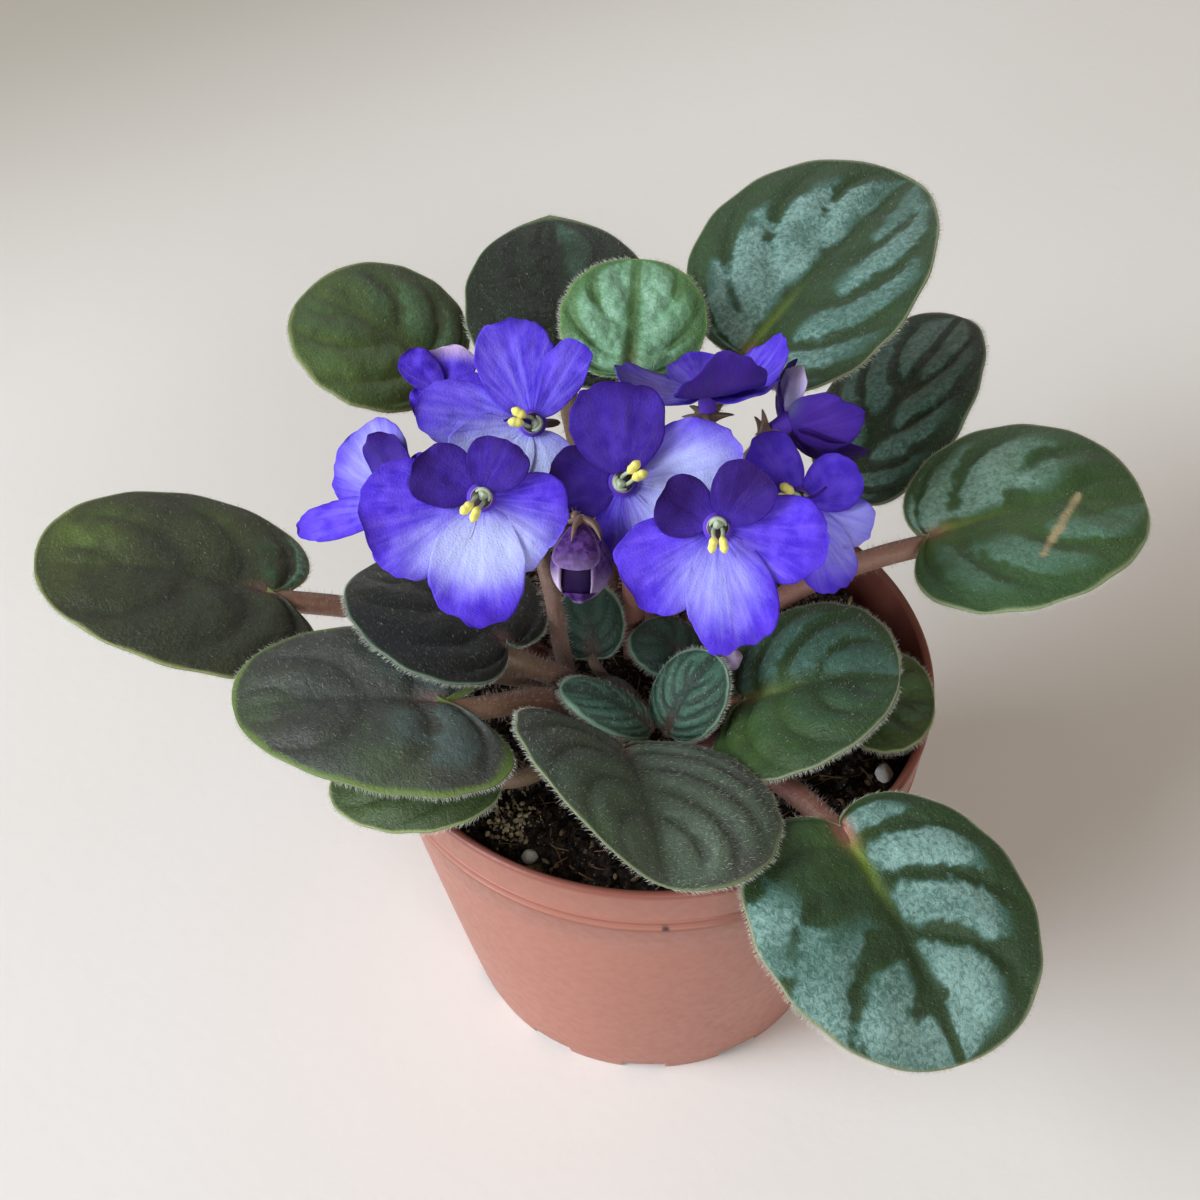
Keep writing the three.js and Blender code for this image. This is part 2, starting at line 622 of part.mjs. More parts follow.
function buildLeaf(leaf) {
  const { size } = leaf;
  const frame = bladeFrame(leaf);
  const blade = sheetSolid(size.rows, size.columns, (t, v, side) => {
    const point = bladePoint(leaf, frame, t, v);
    return point.addScaledVector(frame.up, -side * BLADE_THICKNESS);
  });
  const petiole = petiolePath(leaf, frame, size.petioleRadius);
  const stem = tubeSolid(petiole.line, petiole.radii, petiole.sides);
  return { solid: mainBody(blade.add(stem)), hole: holeAround(petiole) };
}

// ---- Flowers ----

// The frame of a flower: the way it faces, up and right in its face.
function flowerFrame(flower) {
  const facing = direction(flower.facing[0], flower.facing[1]);
  const up = new THREE.Vector3(0, 0, 1).addScaledVector(facing, -facing.z).normalize();
  const right = new THREE.Vector3().crossVectors(up, facing);
  return { centre: vector(flower.centre), facing, up, right };
}

function flowerPoint(frame, along, across, height, turn) {
  const angle = radians(turn);
  const right = along * Math.sin(angle) + across * Math.cos(angle);
  const up = along * Math.cos(angle) - across * Math.sin(angle);
  return frame.centre.clone()
    .addScaledVector(frame.right, right)
    .addScaledVector(frame.up, up)
    .addScaledVector(frame.facing, height);
}

// A petal is an oval that starts in the throat and is broadest past its middle.
function petalSolid(frame, petal) {
  const [turn, length, width, rise, layer] = petal;
  return sheetSolid(PETAL_ROWS, PETAL_COLUMNS, (t, v, side) => {
    const angle = Math.PI * (1 - t);
    const outline = (length + PETAL_START) / 2 + (length - PETAL_START) / 2 * Math.cos(angle);
    const rib = PETAL_START + (length - PETAL_START) * t;
    const along = rib + (outline - rib) * Math.abs(v);
    const across = v * width / 2 * Math.sin(angle) ** 0.85 * (1 + 0.15 * Math.cos(angle));
    const share = along / length;
    const saucer = PETAL_CUP * Math.hypot(along, across) + rise * share ** 3;
    const ripple = PETAL_RIPPLE * v * v * share * share * Math.cos(PETAL_ROWS * Math.PI * t);
    const height = saucer + ripple + PETAL_LAYER * layer - PETAL_THICKNESS * side;
    return flowerPoint(frame, along, across, height, turn);
  });
}

function buildFlower(flower) {
  const frame = flowerFrame(flower);
  const back = flowerPoint(frame, 0, 0, -TUBE_LENGTH, 0);
  const front = flowerPoint(frame, 0, 0, THROAT_HEIGHT, 0);
  let corolla = spindleSolid(back, front, 4, 6, (share) => (
    TUBE_RADIUS * (TUBE_NECK + TUBE_FLARE * share ** 2)
  ));
  flower.petals.forEach((petal) => {
    corolla = corolla.add(petalSolid(frame, petal));
  });
  return mainBody(corolla);
}

// Two yellow pollen sacs side by side in front of the throat.
function buildAnthers(flower) {
  const frame = flowerFrame(flower);
  const sac = (side) => {
    const start = flowerPoint(frame, SAC_START, side * SAC_SPREAD[0], ANTHER_HEIGHT, flower.pollen);
    const end = flowerPoint(frame, SAC_END, side * SAC_SPREAD[1], ANTHER_HEIGHT, flower.pollen);
    return spindleSolid(start, end, 3, 5, (share) => (
      SAC_RADIUS * Math.sin(Math.PI * share) ** 0.5
    ));
  };
  return sac(-1).add(sac(1));
}

function curveTube(points, [fromRadius, toRadius], steps, sides) {
  const curve = new THREE.CatmullRomCurve3(points, false, 'centripetal');
  const line = curve.getPoints(steps);
  const radii = line.map((_, i) => fromRadius + (toRadius - fromRadius) * i / steps);
  return { line, radii, sides, solid: tubeSolid(line, radii, sides) };
}

// The plain hole in the soil round a stem.
function holeAround(stem) {
  return tubeSolid(stem.line, stem.radii.map((radius) => radius + HOLE_GAP), stem.sides);
}

// The green cup behind a flower: a knob that spreads into five pointed sepals.
function calyxSolid(frame, back) {
  const start = back.clone().addScaledVector(frame.facing, -CALYX_LENGTH);
  const end = back.clone().addScaledVector(frame.facing, -GAP);
  return spindleSolid(start, end, 4, 10, (share, turn) => {
    const point = 0.5 + 0.5 * Math.cos(5 * turn);
    return CALYX_NECK + CALYX_FLARE * share + SEPAL_SPREAD * point * share ** 2;
  });
}

function buildStalk(stalk, flowers) {
  const route = stalk.route.map(vector);
  const trunk = curveTube(route, STALK_RADII, 7, PETIOLE_SIDES);
  const fork = route[route.length - 1];
  const lower = fork.clone().add(new THREE.Vector3(0, 0, -FORK_DEPTH));
  let solid = trunk.solid;
  stalk.flowers.forEach((name) => {
    const frame = flowerFrame(flowers.find((flower) => flower.name === name));
    const back = flowerPoint(frame, 0, 0, -TUBE_LENGTH, 0);
    const below = back.clone().addScaledVector(frame.facing, -1);
    const bend = fork.clone().lerp(below, 0.55);
    bend.addScaledVector(frame.facing, -PEDICEL_BOW);
    solid = solid.add(curveTube([lower, bend, below], PEDICEL_RADII, 4, 4).solid);
    solid = solid.add(calyxSolid(frame, back));
  });
  if (stalk.pedicel) {
    const pedicel = [lower, ...stalk.pedicel.map(vector)];
    solid = solid.add(curveTube(pedicel, PEDICEL_RADII, 6, 4).solid);
  }
  return { solid, hole: holeAround(trunk) };
}

// A bud is an egg with five folded petals round it. The one with a foot has a stem of its own.
function buildBud(bud) {
  const lobes = (share, turn) => 1 + BUD_FOLD * share * Math.cos(5 * turn);
  const neck = vector(bud.neck);
  const egg = spindleSolid(neck, vector(bud.tip), bud.rings, bud.sides, (share, turn) => (
    bud.radius * Math.sin(Math.PI * share ** 1.1) ** 0.6 * lobes(share, turn)
  ));
  if (!bud.foot) {
    return { solid: egg, hole: null };
  }
  const foot = vector(bud.foot);
  const bend = foot.clone().lerp(neck, 0.6).add(new THREE.Vector3(-0.6, 0.4, 0));
  const inside = neck.clone().lerp(vector(bud.tip), 0.2);
  const stem = curveTube([foot, bend, inside], BUD_STEM_RADII, 5, 4);
  return { solid: egg.add(stem.solid), hole: holeAround(stem) };
}

// A shed petal that leans between the young leaves.
function petalOnSoil(given) {
  const petal = { ...USUAL_LEAF, ...given };
  const frame = bladeFrame(petal);
  return sheetSolid(4, 2, (t, v, side) => (
    bladePoint(petal, frame, t, v).addScaledVector(frame.up, -side * PETAL_THICKNESS)
  ));
}

// ---- Assembly ----

const plant = new THREE.Group();
plant.name = 'potted_african_violet';
plant.add(nodeFromSolid('pot', buildPot(), COLOURS.terracotta, 0.5));
let soil = buildSoil();
LEAVES.map((leaf) => ({ ...USUAL_LEAF, ...leaf })).forEach((leaf) => {
  const { solid, hole } = buildLeaf(leaf);
  soil = soil.subtract(hole);
  const colour = leaf.size === YOUNG ? COLOURS.youngLeaf : COLOURS.leaf;
  plant.add(nodeFromSolid(leaf.name, solid, colour));
});
FLOWERS.forEach((flower) => {
  plant.add(nodeFromSolid(flower.name, buildFlower(flower), COLOURS.violet));
  if (!flower.closed) {
    const anthers = flower.name.replace('flower', 'anthers');
    plant.add(nodeFromSolid(anthers, buildAnthers(flower), COLOURS.pollen));
  }
});
STALKS.forEach((stalk) => {
  const { solid, hole } = buildStalk(stalk, FLOWERS);
  soil = soil.subtract(hole);
  plant.add(nodeFromSolid(stalk.name, solid, COLOURS.stalk));
});
BUDS.forEach((bud) => {
  const { solid, hole } = buildBud(bud);
  if (hole) {
    soil = soil.subtract(hole);
  }
  plant.add(nodeFromSolid(bud.name, solid, COLOURS[bud.colour]));
});
plant.add(nodeFromSolid('fallen_petal', petalOnSoil(FALLEN_PETAL), COLOURS.violet));
PERLITE.forEach((bead, index) => {
  const grain = (radius) => spindleSolid(
    vector(bead.centre).add(new THREE.Vector3(-radius, 0, 0)),
    vector(bead.centre).add(new THREE.Vector3(radius, 0, 0)),
    4,
    6,
    (share) => radius * Math.sin(Math.PI * share) ** 0.6,
  );
  soil = soil.subtract(grain(bead.radius + GAP));
  plant.add(nodeFromSolid(`perlite_${index + 1}`, grain(bead.radius), COLOURS.perlite, 0.9));
});
plant.add(nodeFromSolid('soil', mainBody(soil), COLOURS.peat, 0.95));

export default plant;
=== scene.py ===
"""A potted african violet: the looks of its pot, soil, hairy leaves and violet flowers.

Places and sizes are in millimetres in the part's own frame (+Z up, the pot stands on z = 0,
the front of the plant looks along -Y), and every mesh is made in metres from them.
"""

import itertools
import math
from collections import namedtuple
from types import SimpleNamespace

import bmesh
import bpy
import numpy as np
from mathutils import Matrix, Vector


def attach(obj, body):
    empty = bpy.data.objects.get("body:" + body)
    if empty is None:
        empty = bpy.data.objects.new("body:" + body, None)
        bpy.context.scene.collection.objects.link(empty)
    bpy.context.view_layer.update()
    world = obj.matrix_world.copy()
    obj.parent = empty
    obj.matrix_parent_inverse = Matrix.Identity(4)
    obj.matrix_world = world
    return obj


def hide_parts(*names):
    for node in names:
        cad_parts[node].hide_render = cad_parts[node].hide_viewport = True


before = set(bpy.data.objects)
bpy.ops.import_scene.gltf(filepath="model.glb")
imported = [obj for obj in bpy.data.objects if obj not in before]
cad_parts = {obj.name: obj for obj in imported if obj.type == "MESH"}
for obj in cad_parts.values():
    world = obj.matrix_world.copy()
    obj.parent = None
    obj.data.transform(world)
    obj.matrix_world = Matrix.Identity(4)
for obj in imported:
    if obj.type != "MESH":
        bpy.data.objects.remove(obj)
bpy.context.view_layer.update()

MM = 0.001
UP = np.array([0.0, 0.0, 1.0])
rng = np.random.default_rng(11)

# Pot: a 9 cm nursery pot.
POT_HEIGHT = 69.4
POT_RIM_RADIUS = 45
POT_BASE_RADIUS = 32.6
POT_WALL = 1.2
WALL_CURVE = 0.93
BAND_TAPER = 1.4
EDGE_ROUND = 0.5
BAND_BOTTOM = 58.6
BAND_RIDGE = 61.7
BAND_STEP = 0.45
RIDGE_STEP = 0.4
FOOT_HEIGHT = 2
FOOT_WIDTH = 4
NOTCH_COUNT = 12
NOTCH_WIDTH = 7.5
NOTCH_HEIGHT = 1.7
NOTCH_TURN = -93.2
BASE_PAD_RADIUS = 17
DRAIN_COUNT = 6
DRAIN_RADIUS = 2.6
DRAIN_RING = 23
SPECK = (-89.1, 59.7)  # the small dark mark on the pot: azimuth in degrees and height

# Soil.
SOIL_LEVEL = 60.8
SOIL_RADIUS = 41.6
SOIL_GRID = 300
CLUMP = (-22.5, -26.5, 63.4)  # a grainy tan clump in front on the left
CLOD_COUNT = 1500
CLUMP_GRAINS = 420
CHIP_COUNT = 240
FIBRE_COUNT = 260
PERLITE = [((-19.5, -31.8, 61.6), 1.3), ((-26, -21, 61.8), 1.1), ((36, -17, 61.8), 1.5)]

# Leaves.
CROWN = (-2, 2)
FOOT_DEPTH = 5.5
BLADE_THICKNESS = 1
EDGE_FULLNESS = 0.9
SIDE_BOW = 0.2
MIDRIB_PACE = 1.4
FOLD_ROUND = 3
VEIN_RELIEF = 0.9
VEIN_SWEEP = 0.35
MIDRIB = [(0.2, 0.75), (0.4, 0.55), (0.62, 0.35)]
MIDRIB_DEPTH = 0.3
LARGE_WIDTH = 16
LARGE_GRID = (112, 84)
YOUNG_GRID = (70, 48)
HAIRS_PER_MM2 = 1.7
HAIR_RADIUS = 0.017
FRINGE_PER_MM = 8.5
FRINGE_RADIUS = 0.026
STEM_HAIR_RADIUS = 0.024
SCAR = np.array([(61.0, 5.4), (69.3, 19.3)])  # the ends of the dry line on the right leaf

# Flowers.
PETAL_GRID = (52, 41)
PETAL_THICKNESS = 0.45
PETAL_LAYER = 0.6
PETAL_START = 1.2
PETAL_CUP = 0.1
PETAL_RIPPLE = 0.35
TUBE_LENGTH = 3
TUBE_RADIUS = 1.8
TUBE_NECK = 0.75
THROAT_RADIUS = 0.8
ANTHER_HEIGHT = 4.2
SAC_START = 1.2
SAC_END = 3.7
SAC_RADIUS = 0.85
SEPAL_COUNT = 5
CALYX_LENGTH = 2.4
CALYX_NECK = 0.9
CALYX_FLARE = 0.5
SEPAL_SPREAD = 3
STALK_RADII = (1.5, 1.3)
PEDICEL_RADII = (1, 0.8)
BUD_STEM_RADII = (0.8, 0.7)
FORK_DEPTH = 1.2
PEDICEL_BOW = 2.5
BUD_FOLD = 0.1

# Camera: it looks at CAMERA_TARGET from in front and above, as the photograph does.
CAMERA_TARGET = (-8.15, 43.36, 40)
CAMERA_DISTANCE = 340.4
CAMERA_ELEVATION = 45.65
CAMERA_ROLL = -0.97
CAMERA_LENS = 54
CAMERA_SENSOR = 36

# Looks of a leaf: the deep green of its vein valleys, its body in two greens, the bright and
# the dull silver painted on its ridges as sheen, the window's reflection, a glow of
# yellow-green, its margin, the start of its midrib, its underside and its petiole.
TONES = ("deep", "body", "tint", "painted_silver", "painted_dull_silver", "glow", "edge", "rib", "under", "petiole")


def look(*codes):
    """A look from its colour codes, in the order of TONES."""
    return dict(zip(TONES, codes))


LOOKS = {
    "painted_silver": look(0x20361B, 0x324E2A, 0x2C4624, 0x8AB0A8, 0x466C60, 0x4E6E2C,
                   0x87906E, 0x7F9A3A, 0x7F9068, 0x9A6660),
    "fern": look(0x24401C, 0x35562B, 0x3C5E34, 0x86AC9C, 0x4E765C, 0x56762E,
                 0x8C9A70, 0x7F9A3A, 0x7F9068, 0x9A6660),
    "pine": look(0x14240F, 0x213A1C, 0x1D3018, 0x76998E, 0x375A4C, 0x3E5A26,
                 0x7A866A, 0x45603A, 0x7F9068, 0x9A6660),
    "olive": look(0x1E2418, 0x363A28, 0x3C4128, 0x6F9482, 0x3A5A38, 0x5E7230,
                  0x8A945C, 0x4A4A30, 0x7D6B5E, 0x6A2F2E),
    "purple": look(0x2A2C28, 0x3C413C, 0x43443F, 0x6A8184, 0x4A5C58, 0x4E6834,
                   0x68803E, 0x464C3E, 0x7B6468, 0x6E453F),
    "black": look(0x0C0E0B, 0x161A15, 0x1B1D18, 0x4C6A5C, 0x233028, 0x2C3A24,
                  0x5E7860, 0x2A3022, 0x6C5C60, 0x6A4A44),
    "forest": look(0x0C160A, 0x162413, 0x1A2816, 0x5C7C6C, 0x2C4636, 0x2C4422,
                   0x6C8058, 0x2C3C26, 0x6C7C60, 0x6A4A44),
    "fresh": look(0x46683A, 0x527A48, 0x4A7244, 0x9AC2AA, 0x66946E, 0x5C8038,
                  0x6C8C4C, 0x5E8048, 0x8AA070, 0x8F5B52),
    "moss": look(0x2E3C1E, 0x44582C, 0x3C4E28, 0x6F9276, 0x4A6A44, 0x60783A,
                 0x8A9660, 0x545A30, 0x8A8A62, 0x7C6256),
    "woolly": look(0x384434, 0x506050, 0x545852, 0x8A9E8E, 0x5A6C5A, 0x4C6A34,
                   0x7A8A60, 0x2F342A, 0x7C8468, 0x7A5C52),
    "young": look(0x1C3428, 0x304C3E, 0x2C4438, 0x6E9282, 0x46705C, 0x3C6444,
                  0x86AC92, 0x24402F, 0x6E7F6C, 0x6E5A56),
}

# The painted silver sheen of one half of a leaf, standing for the window's reflection on its
# ridges: its strength, the shares of the length it starts and stops at, how far out from the
# midrib it starts and stops, how much later it starts and stops out there, and how little the
# side veins cut into it near the midrib and far from it.
PaintedSheen = namedtuple("PaintedSheen", "strength start stop inner outer lean near far",
                    defaults=(0.0, 1.0, 0.1, 0.8, 0.25, 0.1, 0.0))


def a_leaf(name, look, base, tip, width, foot, **more):
    """One leaf: where its blade starts and ends, how wide it is and how it lies.

    foot is where the petiole enters the soil: radius and azimuth about the crown. lobe is the
    part behind the start of the midrib, as a share of the length, and slant how far the blade
    leans along its midrib for each millimetre to the side. left and right are the painted
    silver sheen of its halves, seen from the base. veins counts the side veins of a half and
    swept is how far they sweep forward. glows are yellow-green spots: place along, place
    across, size and strength. rim is how wide the pale margin is, rib how bright the start of
    the midrib and blush how pink the joint. stem is the petiole's colour where it isn't that
    of the look.
    """
    usual = dict(lobe=0.1, slant=0, sinus=0.08, ovate=0.03, point=0, roll=0, fold=4, bow=2,
                 droop=2, rise=0.8, reach=0.3, petiole=1.8, veins=4, swept=VEIN_SWEEP,
                 crinkle=0.26, hair=1, rim=0.4, rib=0.25, blush=0.15, glows=[],
                 left=PaintedSheen(0.15), right=PaintedSheen(0.15), stem=None)
    return SimpleNamespace(name=name, look=look, base=base, tip=tip, width=width, foot=foot,
                           **{**usual, **more})


LEAVES = [
    a_leaf("leaf_far_left", "olive", (-61.5, 9, 78.5), (-98, 10.5, 84), 38, (13.5, 158),
           lobe=0.3, slant=0.24, sinus=0.1, hair=1.2, rim=0.55, left=PaintedSheen(0.12, 0, 0.6),
           right=PaintedSheen(0.9, -0.5, 0.1, outer=1.1),
           glows=[(0.8, 0.6, 8, 0.7), (0.4, 0.7, 7, 0.25), (0.9, -0.3, 6, 0.3)]),
    a_leaf("leaf_left_front", "purple", (-32, -21.5, 86), (-62.5, -20, 82.5), 32.5, (13, 222),
           lobe=0.36, slant=0.4, sinus=0.1, droop=3, hair=1.8, rim=1.1,
           left=PaintedSheen(0.45, -0.3, 0.4, outer=0.9), right=PaintedSheen(0.35, -0.3, 0.4, outer=0.9),
           glows=[(0.55, -0.85, 8, 0.4), (0.95, -0.3, 7, 0.35)]),
    a_leaf("leaf_left_dark", "black", (-22.5, -9, 84.5), (-45, 9.5, 83), 35, (8.5, 215),
           lobe=0.15, slant=0.2, roll=-18, reach=0.15, rise=0.6, left=PaintedSheen(0.1, 0, 0.5),
           right=PaintedSheen(0.25, 0.5, 1.2, 0.2, 1.0)),
    a_leaf("leaf_back_left", "moss", (-36, 59.5, 82), (-60, 71, 92), 36, (13, 125), rim=0.7,
           left=PaintedSheen(0.3, 0.1, 1.1, outer=1.0), right=PaintedSheen(0.55, -0.2, 0.7),
           glows=[(0.2, 0.0, 8, 0.4), (0.55, -0.6, 12, 0.85), (0.9, -0.2, 8, 0.4)]),
    a_leaf("leaf_back_dark", "forest", (-13.5, 56, 84), (-16.5, 97, 90), 34, (13, 103),
           lobe=0.12, ovate=0.1, point=0.8, fold=8, rib=0.3, left=PaintedSheen(0.08),
           right=PaintedSheen(0.5, 0.1, 1.0, 0.12, 0.85)),
    a_leaf("leaf_back_round", "fresh", (-2.5, 39, 98), (-1, 56.5, 108), 24.5, (7, 95), lobe=0.08,
           bow=1, droop=1, crinkle=0.8, left=PaintedSheen(0.7, -0.3, 1.1, 0.05, 0.9, near=0.9),
           right=PaintedSheen(0.7, -0.3, 1.1, 0.05, 0.9, near=0.9)),
    a_leaf("leaf_back_right", "painted_silver", (17, 47.5, 95), (49.5, 83.5, 105), 44, (13.5, 78),
           slant=-0.25, ovate=0.18, point=0.3, roll=4, fold=16, veins=5, rib=0.7,
           left=PaintedSheen(1.0, -0.4, 0.8, 0.02, 0.78, near=0.5),
           right=PaintedSheen(0.65, -0.4, 0.85, 0.28, 1.0)),
    a_leaf("leaf_right_upper", "pine", (35.6, 38, 74), (58.5, 71, 84), 31.5, (13, 47),
           slant=-0.3, roll=22, fold=8, veins=5, left=PaintedSheen(0.75, -0.3, 0.95, 0.05, 0.85),
           right=PaintedSheen(0.8, -0.1, 1.1, 0.12, 0.9)),
    a_leaf("leaf_right", "fern", (45, 14.5, 83), (80.5, 20, 85), 41, (13, 20), lobe=0.14,
           slant=-0.15, bow=3, rib=0.6, blush=0.5, rim=0.6,
           left=PaintedSheen(1.0, -0.4, 0.6, 0.05, 0.9, near=0.3),
           right=PaintedSheen(0.6, 0.1, 0.95, 0.25, 0.9),
           glows=[(0.08, 0.0, 5, 0.8), (0.5, 0.1, 9, 0.4), (0.8, 0.5, 10, 0.35)]),
    a_leaf("leaf_front_right", "painted_silver", (26, -36.5, 74), (41.5, -65.5, 57), 41, (13, 303),
           lobe=0.14, slant=-0.15, fold=6, bow=3, veins=5, swept=0.16, stem=0x74323E, rib=1.0,
           blush=0.9, rim=0.5, left=PaintedSheen(1.0, -0.5, 1.1, 0.02, 0.85, lean=0.1, near=0.12),
           right=PaintedSheen(0.95, 0.62, 1.6, 0.1, 1.2, lean=-0.35, near=-0.15, far=0.3),
           glows=[(0.1, 0.15, 5, 0.5)]),
    a_leaf("leaf_front", "woolly", (-5, -23.5, 77), (0, -50.5, 80), 38, (12, 254), lobe=0.22,
           slant=-0.25, sinus=0.12, roll=22, fold=18, rise=0.2, reach=0.1, hair=3.2, veins=6,
           left=PaintedSheen(0.5, -0.4, 1.0, 0.05, 0.95), right=PaintedSheen(0.3, 0.1, 1.0, outer=0.9),
           glows=[(0.75, 0.5, 9, 0.5)]),
    a_leaf("leaf_right_inner", "painted_silver", (14.3, -11, 73), (36.7, -14.5, 81), 35, (9, 318),
           lobe=0.3, slant=-0.05, sinus=0.1, fold=6, hair=2, veins=5, rib=0.6,
           left=PaintedSheen(0.4, -0.1, 0.95, 0.05, 0.95), right=PaintedSheen(0.15, 0.2, 0.9),
           glows=[(0.35, 0.55, 9, 0.6), (0.15, 0.0, 6, 0.5)]),
    a_leaf("leaf_left_low", "moss", (-24, -27, 76), (-49, -24.5, 72), 22, (14, 236), lobe=0.08,
           petiole=1.4),
    a_leaf("leaf_left_under", "moss", (-26, -8, 79), (-45, 1, 79), 20, (13, 197), petiole=1.4),
    a_leaf("leaf_right_hidden", "moss", (30.5, -10, 71), (43.5, -11.5, 72), 21, (13, 346), bow=1,
           droop=1, petiole=1.4, left=PaintedSheen(0.4), right=PaintedSheen(0.4),
           glows=[(0.7, -0.4, 5, 0.6)]),
    a_leaf("young_leaf_left", "young", (-0.8, -14.8, 71.6), (-14.5, -12.6, 78.5), 9.2, (6, 262),
           lobe=0.05, reach=0.08, petiole=0.9, hair=2.6, veins=6,
           left=PaintedSheen(0.45, -0.4, 1.2, 0.05, 1.0), right=PaintedSheen(0.45, -0.4, 1.2, 0.05, 1.0)),
    a_leaf("young_leaf_right", "young", (1.8, -15, 70.5), (9.5, -8, 80), 13, (6, 300), lobe=0.05,
           reach=0.08, petiole=0.9, hair=2.6, veins=6, left=PaintedSheen(0.5, -0.4, 1.2, 0.05, 1.0),
           right=PaintedSheen(0.5, -0.4, 1.2, 0.05, 1.0)),
    a_leaf("young_leaf_dark", "young", (6, -0.5, 70), (-2, 7, 71), 12, (6, 350), petiole=0.9),
    a_leaf("young_leaf_round", "young", (-9.6, 2, 70), (-10, 12, 76), 11, (4, 200), petiole=0.9),
    a_leaf("young_leaf_purple", "purple", (-3, -7.5, 69), (-9.6, -4.5, 69.8), 6, (3.5, 225),
           lobe=0.05, petiole=0.9),
]


def a_flower(name, centre, facing, petals, shades, pale, **more):
    """One flower: the middle of its throat, where it faces (azimuth and elevation) and more.

    petals holds the turn of each from the top, clockwise as seen from the front, its length,
    its width, how far its tip stands forward and its layer. The first two are the small upper
    ones and the last is the lower lip. shades says how dark each petal is and folds how deeply
    it is pleated. pale is the pale patch: its turn, its distance from the throat, its half
    length and half width and its strength. pollen is the turn of the anthers and style that of
    the style. light is painted light: how much paler the whole flower is painted where it
    stands in brighter light. Then a petal may be painted pinkish white: its number, where
    along it that starts and how strong it is; on flower_back_right this is a painted
    highlight. A closed flower has no anthers.
    """
    usual = dict(pollen=180, style=None, light=0, folds=(0.25,) * 5, pink=(None, 0, 0),
                 closed=False)
    return SimpleNamespace(name=name, centre=centre, facing=facing, petals=petals,
                           shades=shades, pale=pale, **{**usual, **more})


FLOWERS = [
    a_flower("flower_front_left", (-25, -2, 108), (-86, 43),
             [(-57, 10.8, 9.5, 1, 1), (28, 9, 9, 1, 2), (-103, 17.8, 17, 0, 0),
              (122, 12.5, 15, -1, 0), (187, 18, 14, 0, 1)], (0.85, 0.9, 0.0, 0.0, 0.0),
             (182, 7.5, 6.5, 12.0, 1.1), pollen=-140),
    a_flower("flower_top_left", (-18, 18, 105), (-87, 42),
             [(-13, 16, 12, 1, 1), (34, 14.5, 7, 2, 2), (-80, 18, 10, 0, 0),
              (-125, 14, 13, 0, 1), (172, 13, 12, -1, 0)], (0.02, 0.05, 0.02, 0.0, 0.0),
             (-165, 8.5, 8.0, 13.0, 1.0), pollen=-70, style=-80, light=0.3),
    a_flower("flower_middle", (-4.5, 3, 106), (-90, 44),
             [(-4, 14.5, 14, 1, 2), (-92, 10.8, 11, 0, 0), (78, 17.5, 14, 0, 0),
              (128, 13, 12, 0, 1), (178, 11.5, 9, -3, 0)], (0.85, 0.9, 0.0, 0.0, 0.0),
             (108, 10.5, 10.0, 12.5, 1.1), pollen=55, folds=(0.5, 0.8, 0.6, 0.4, 0.7)),
    a_flower("flower_front", (8.8, -8, 107), (-94, 43),
             [(-62, 9.5, 9, 1, 1), (34, 10.5, 9.5, 1, 2), (98, 16, 12.5, 0, 0),
              (-128, 15.8, 14, 0, 0), (167, 18, 13, 0, 1)], (0.9, 0.9, 0.0, 0.0, 0.0),
             (182, 8.0, 7.5, 8.0, 0.75), pollen=178),
    a_flower("flower_right", (22.5, 8, 97), (-96, 46),
             [(-36, 11.5, 8, 0, 1), (60, 10, 9, 1, 1), (110, 12, 8, 0, 0), (152, 15, 9, -1, 1),
              (-120, 11, 9, 0, 0)], (0.5, 0.4, 0.2, 0.2, 0.2), (115, 9.0, 8.0, 9.0, 0.7),
             pollen=-70, style=65, folds=(0.4, 0.7, 0.4, 0.4, 0.3)),
    a_flower("flower_far_left", (-38, 7, 99), (-135, 42),
             [(-42, 10.5, 8, 3, 1), (20, 9, 8, 0, 0), (-74, 14, 15, 0, 0), (-132, 19, 6, 0, 1),
              (150, 10, 9, 0, 0)], (0.85, 0.5, 0.0, 0.1, 0.3), (-60, 8.0, 8.0, 8.0, 0.6),
             light=0.15, pollen=170),
    a_flower("flower_back", (9, 23, 106.3), (95, 72),
             [(-8, 12, 14, 8, 1), (-55, 11.5, 10, 2, 0), (-100, 12.5, 13, 6, 0),
              (88, 14, 15, 3.5, 0), (-175, 9.5, 12, 1.5, 1)], (0.55, 0.2, 0.0, 0.0, 0.1),
             (90, 8.0, 6.0, 8.0, 0.3), light=0.25, pollen=0),
    # Its lilac first petal is a painted highlight: the pale patch and the pinkish white on it
    # stand for the window's light on it.
    a_flower("flower_back_right", (21.5, 21, 101.8), (30, 10),
             [(20, 7.5, 8, 3.5, 1), (75, 8.5, 8, 7, 0), (-65, 10.5, 10, 6.5, 0),
              (-125, 10.5, 12, 7, 1), (165, 9, 8, 6, 0)], (0.0, 0.95, 0.7, 0.9, 0.7),
             (20, 6.0, 5.0, 5.0, 1.3), pollen=180, pink=(0, -0.4, 0.6)),
    a_flower("flower_back_left", (-33, 37, 95), (-90, 60),
             [(-42, 10, 6, 0, 1), (8, 9, 8.5, 0, 0), (85, 7, 7, 0, 1), (-110, 6, 6, 0, 0),
              (180, 7, 7, 0, 1)], (0.4, 0.3, 0.3, 0.3, 0.3), (0, 8.0, 3.0, 3.0, 0.3),
             closed=True, pink=(1, 0.6, 0.8)),
]

